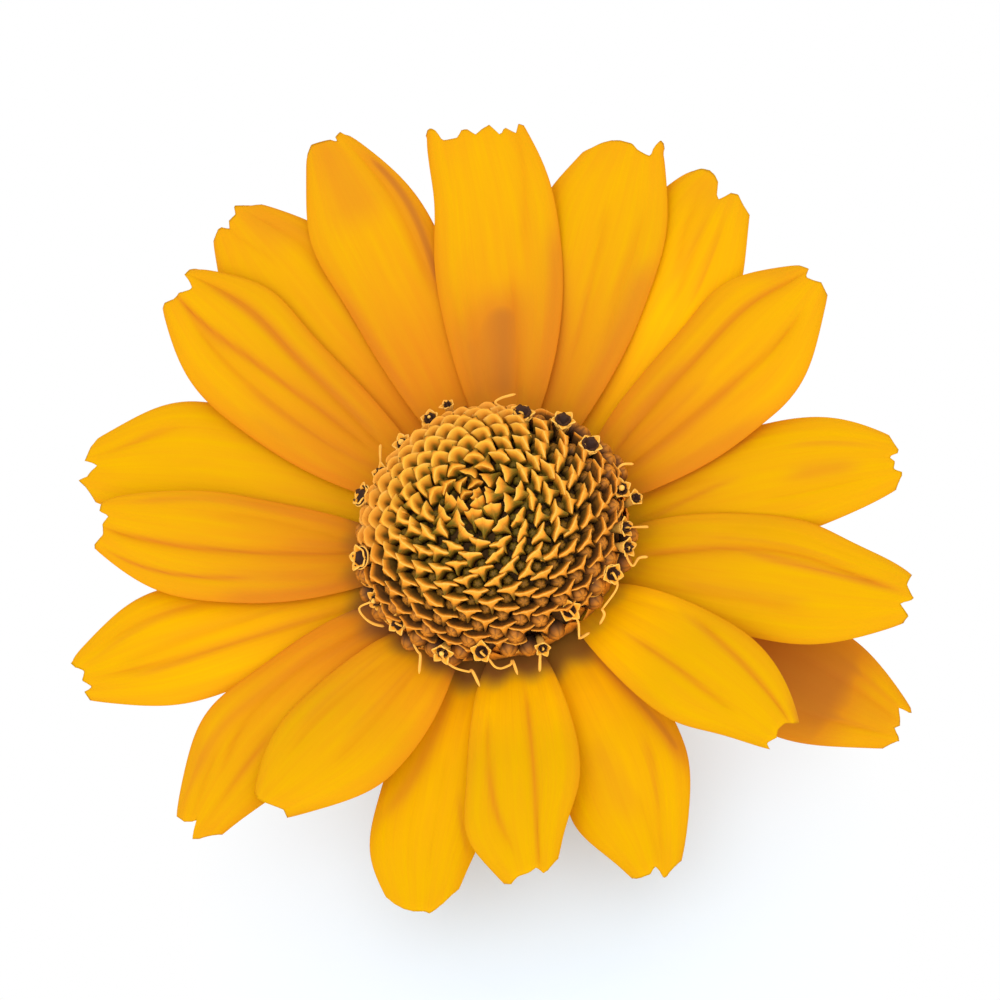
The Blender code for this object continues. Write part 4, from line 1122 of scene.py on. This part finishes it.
# The ribbed cup under the flower, from the scar of the stalk up to the foot of the disc.
def cupPart():
    look = cupLook
    rings = [(blend(r0, r1, step / look["steps"]), blend(z0, z1, step / look["steps"]))
             for (r0, z0), (r1, z1) in zip(look["profile"], look["profile"][1:])
             for step in range(look["steps"])]
    rings.append(look["profile"][-1])
    around = np.linspace(0, 2 * math.pi, look["sides"], endpoint=False)
    points = []
    for radius, height in rings:
        ridge = look["ribHeight"] * np.cos(look["ribs"] * around) * smooth(height, *look["ribFrom"])
        points.append(levelRing(radius * (1 + ridge / max(radius, 1)), height, around))
    return newPart(np.concatenate(points), tubeFaces(len(rings), look["sides"]))


def bractMaterial():
    look = bractLook
    material, tree = plantMaterial("bractGreen")
    uv = addNode(tree, "ShaderNodeTexCoord").outputs["UV"]
    veins = streaks(tree, *look["veins"])
    along = addNode(tree, "ShaderNodeSeparateXYZ", {0: uv}).outputs[1]
    color = paintLayers(tree, look["pale"], look, ((along, 0.0, 0.6, 1.0, "green"),
                                                   (veins, 0.45, 0.7, 0.6, "vein")))
    closeMaterial(tree, color, veins, look)
    return material


def cupMaterial():
    look = cupLook
    material, tree = plantMaterial("cupGreen")
    noise = speckle(tree, look["grain"])
    place = addNode(tree, "ShaderNodeTexCoord").outputs["Object"]
    height = addNode(tree, "ShaderNodeSeparateXYZ", {0: place}).outputs[2]
    # Painted shade: the top of the cup, under the disc, turns brown.
    color = paintLayers(tree, look["green"], look, (
        (noise, 0.35, 0.7, 1.0, "pale"),
        (height, look["shadeFrom"] * mm, look["shadeTo"] * mm, 1.0, "brown")))
    closeMaterial(tree, color, noise, look)
    return material


makePiece("bractCup", [cupPart()], cupMaterial(), "involucre")
bractPaint = bractMaterial()
for name, row in (("innerBracts", innerBracts), ("outerBracts", outerBracts)):
    bracts = [bractPart(row, index) for index in range(row["count"])]
    makePiece(name, bracts, bractPaint, "involucre")


print("floor, light and camera")
# Sizes, places and distances of the studio are metres.
studio = dict(
    floorSize=3.0, floorColor=(0.62, 0.70, 0.77), floorGlow=(0.15, 1.0),
    shadowAt=(-0.0125, -0.026, 0.0), shadowReach=(0.008, 0.030), worldColor=(1.0, 1.0, 1.0),
    worldStrength=1.21, keyAzimuth=-105, keyElevation=66, keyDistance=0.9, keySize=0.9, keyPower=4.5)
shot = dict(target=(0.0, 0.0, 7.2), elevation=67, roll=31, distance=380, pixelsPerMm=12.06, sensor=36.0,
            shift=(-0.003, 0.0455))


def makeFloor():
    half = studio["floorSize"] / 2
    mesh = bpy.data.meshes.new("floor")
    corners = [(-half, -half, 0), (half, -half, 0), (half, half, 0), (-half, half, 0)]
    mesh.from_pydata(corners, [], [(0, 1, 2, 3)])
    material, tree = plantMaterial("paleFloor")
    # The floor glows as painted light, evenly white away from shadowAt and less around it, so that its own
    # shading under the flower shows only there. Its colour is cooler than white so that this shade stays
    # grey.
    shader = addNode(tree, "ShaderNodeBsdfDiffuse", {"Color": (*studio["floorColor"], 1.0)})
    light = addNode(tree, "ShaderNodeEmission", {"Strength": 1.0})
    place = addNode(tree, "ShaderNodeTexCoord").outputs["Object"]
    away = addNode(tree, "ShaderNodeVectorMath", {0: place, 1: studio["shadowAt"]}, operation="DISTANCE")
    glow = remap(tree, away.outputs["Value"], *studio["shadowReach"], *studio["floorGlow"])
    surface = addNode(tree, "ShaderNodeMixShader", {0: glow, 1: shader.outputs[0], 2: light.outputs[0]})
    addNode(tree, "ShaderNodeOutputMaterial", {"Surface": surface.outputs[0]})
    mesh.materials.append(material)
    floor = bpy.data.objects.new("floor", mesh)
    bpy.context.scene.collection.objects.link(floor)


def makeLight():
    world = bpy.data.worlds.new("paleRoom")
    world.use_nodes = True
    background = world.node_tree.nodes["Background"]
    background.inputs["Color"].default_value = (*studio["worldColor"], 1.0)
    background.inputs["Strength"].default_value = studio["worldStrength"]
    bpy.context.scene.world = world
    azimuth, elevation = math.radians(studio["keyAzimuth"]), math.radians(studio["keyElevation"])
    toward = Vector((math.cos(azimuth) * math.cos(elevation), math.sin(azimuth) * math.cos(elevation),
                     math.sin(elevation)))
    key = bpy.data.lights.new("keyLight", "AREA")
    key.size = studio["keySize"]
    key.energy = studio["keyPower"]
    lamp = bpy.data.objects.new("keyLight", key)
    lamp.location = toward * studio["keyDistance"]
    lamp.rotation_mode = "QUATERNION"
    lamp.rotation_quaternion = toward.to_track_quat("Z", "Y")
    bpy.context.scene.collection.objects.link(lamp)


def makeCamera():
    camera = bpy.data.cameras.new("camera")
    camera.sensor_width = shot["sensor"]
    camera.lens = shot["sensor"] * shot["distance"] * shot["pixelsPerMm"] / 1000
    camera.shift_x, camera.shift_y = shot["shift"]
    camera.clip_start = 0.01
    elevation, roll = math.radians(shot["elevation"]), math.radians(shot["roll"])
    back = Vector((0.0, -math.cos(elevation), math.sin(elevation)))
    level = Vector((1.0, 0.0, 0.0))
    rising = Vector((0.0, math.sin(elevation), math.cos(elevation)))
    right = level * math.cos(roll) - rising * math.sin(roll)
    up = level * math.sin(roll) + rising * math.cos(roll)
    eye = Vector(shot["target"]) * mm + back * shot["distance"] * mm
    viewer = bpy.data.objects.new("camera", camera)
    turn = Matrix((right, up, back)).transposed()
    viewer.matrix_world = Matrix.Translation(eye) @ turn.to_4x4()
    bpy.context.scene.collection.objects.link(viewer)
    bpy.context.scene.camera = viewer


makeFloor()
makeLight()
makeCamera()
bpy.context.scene.view_settings.view_transform = "Standard"
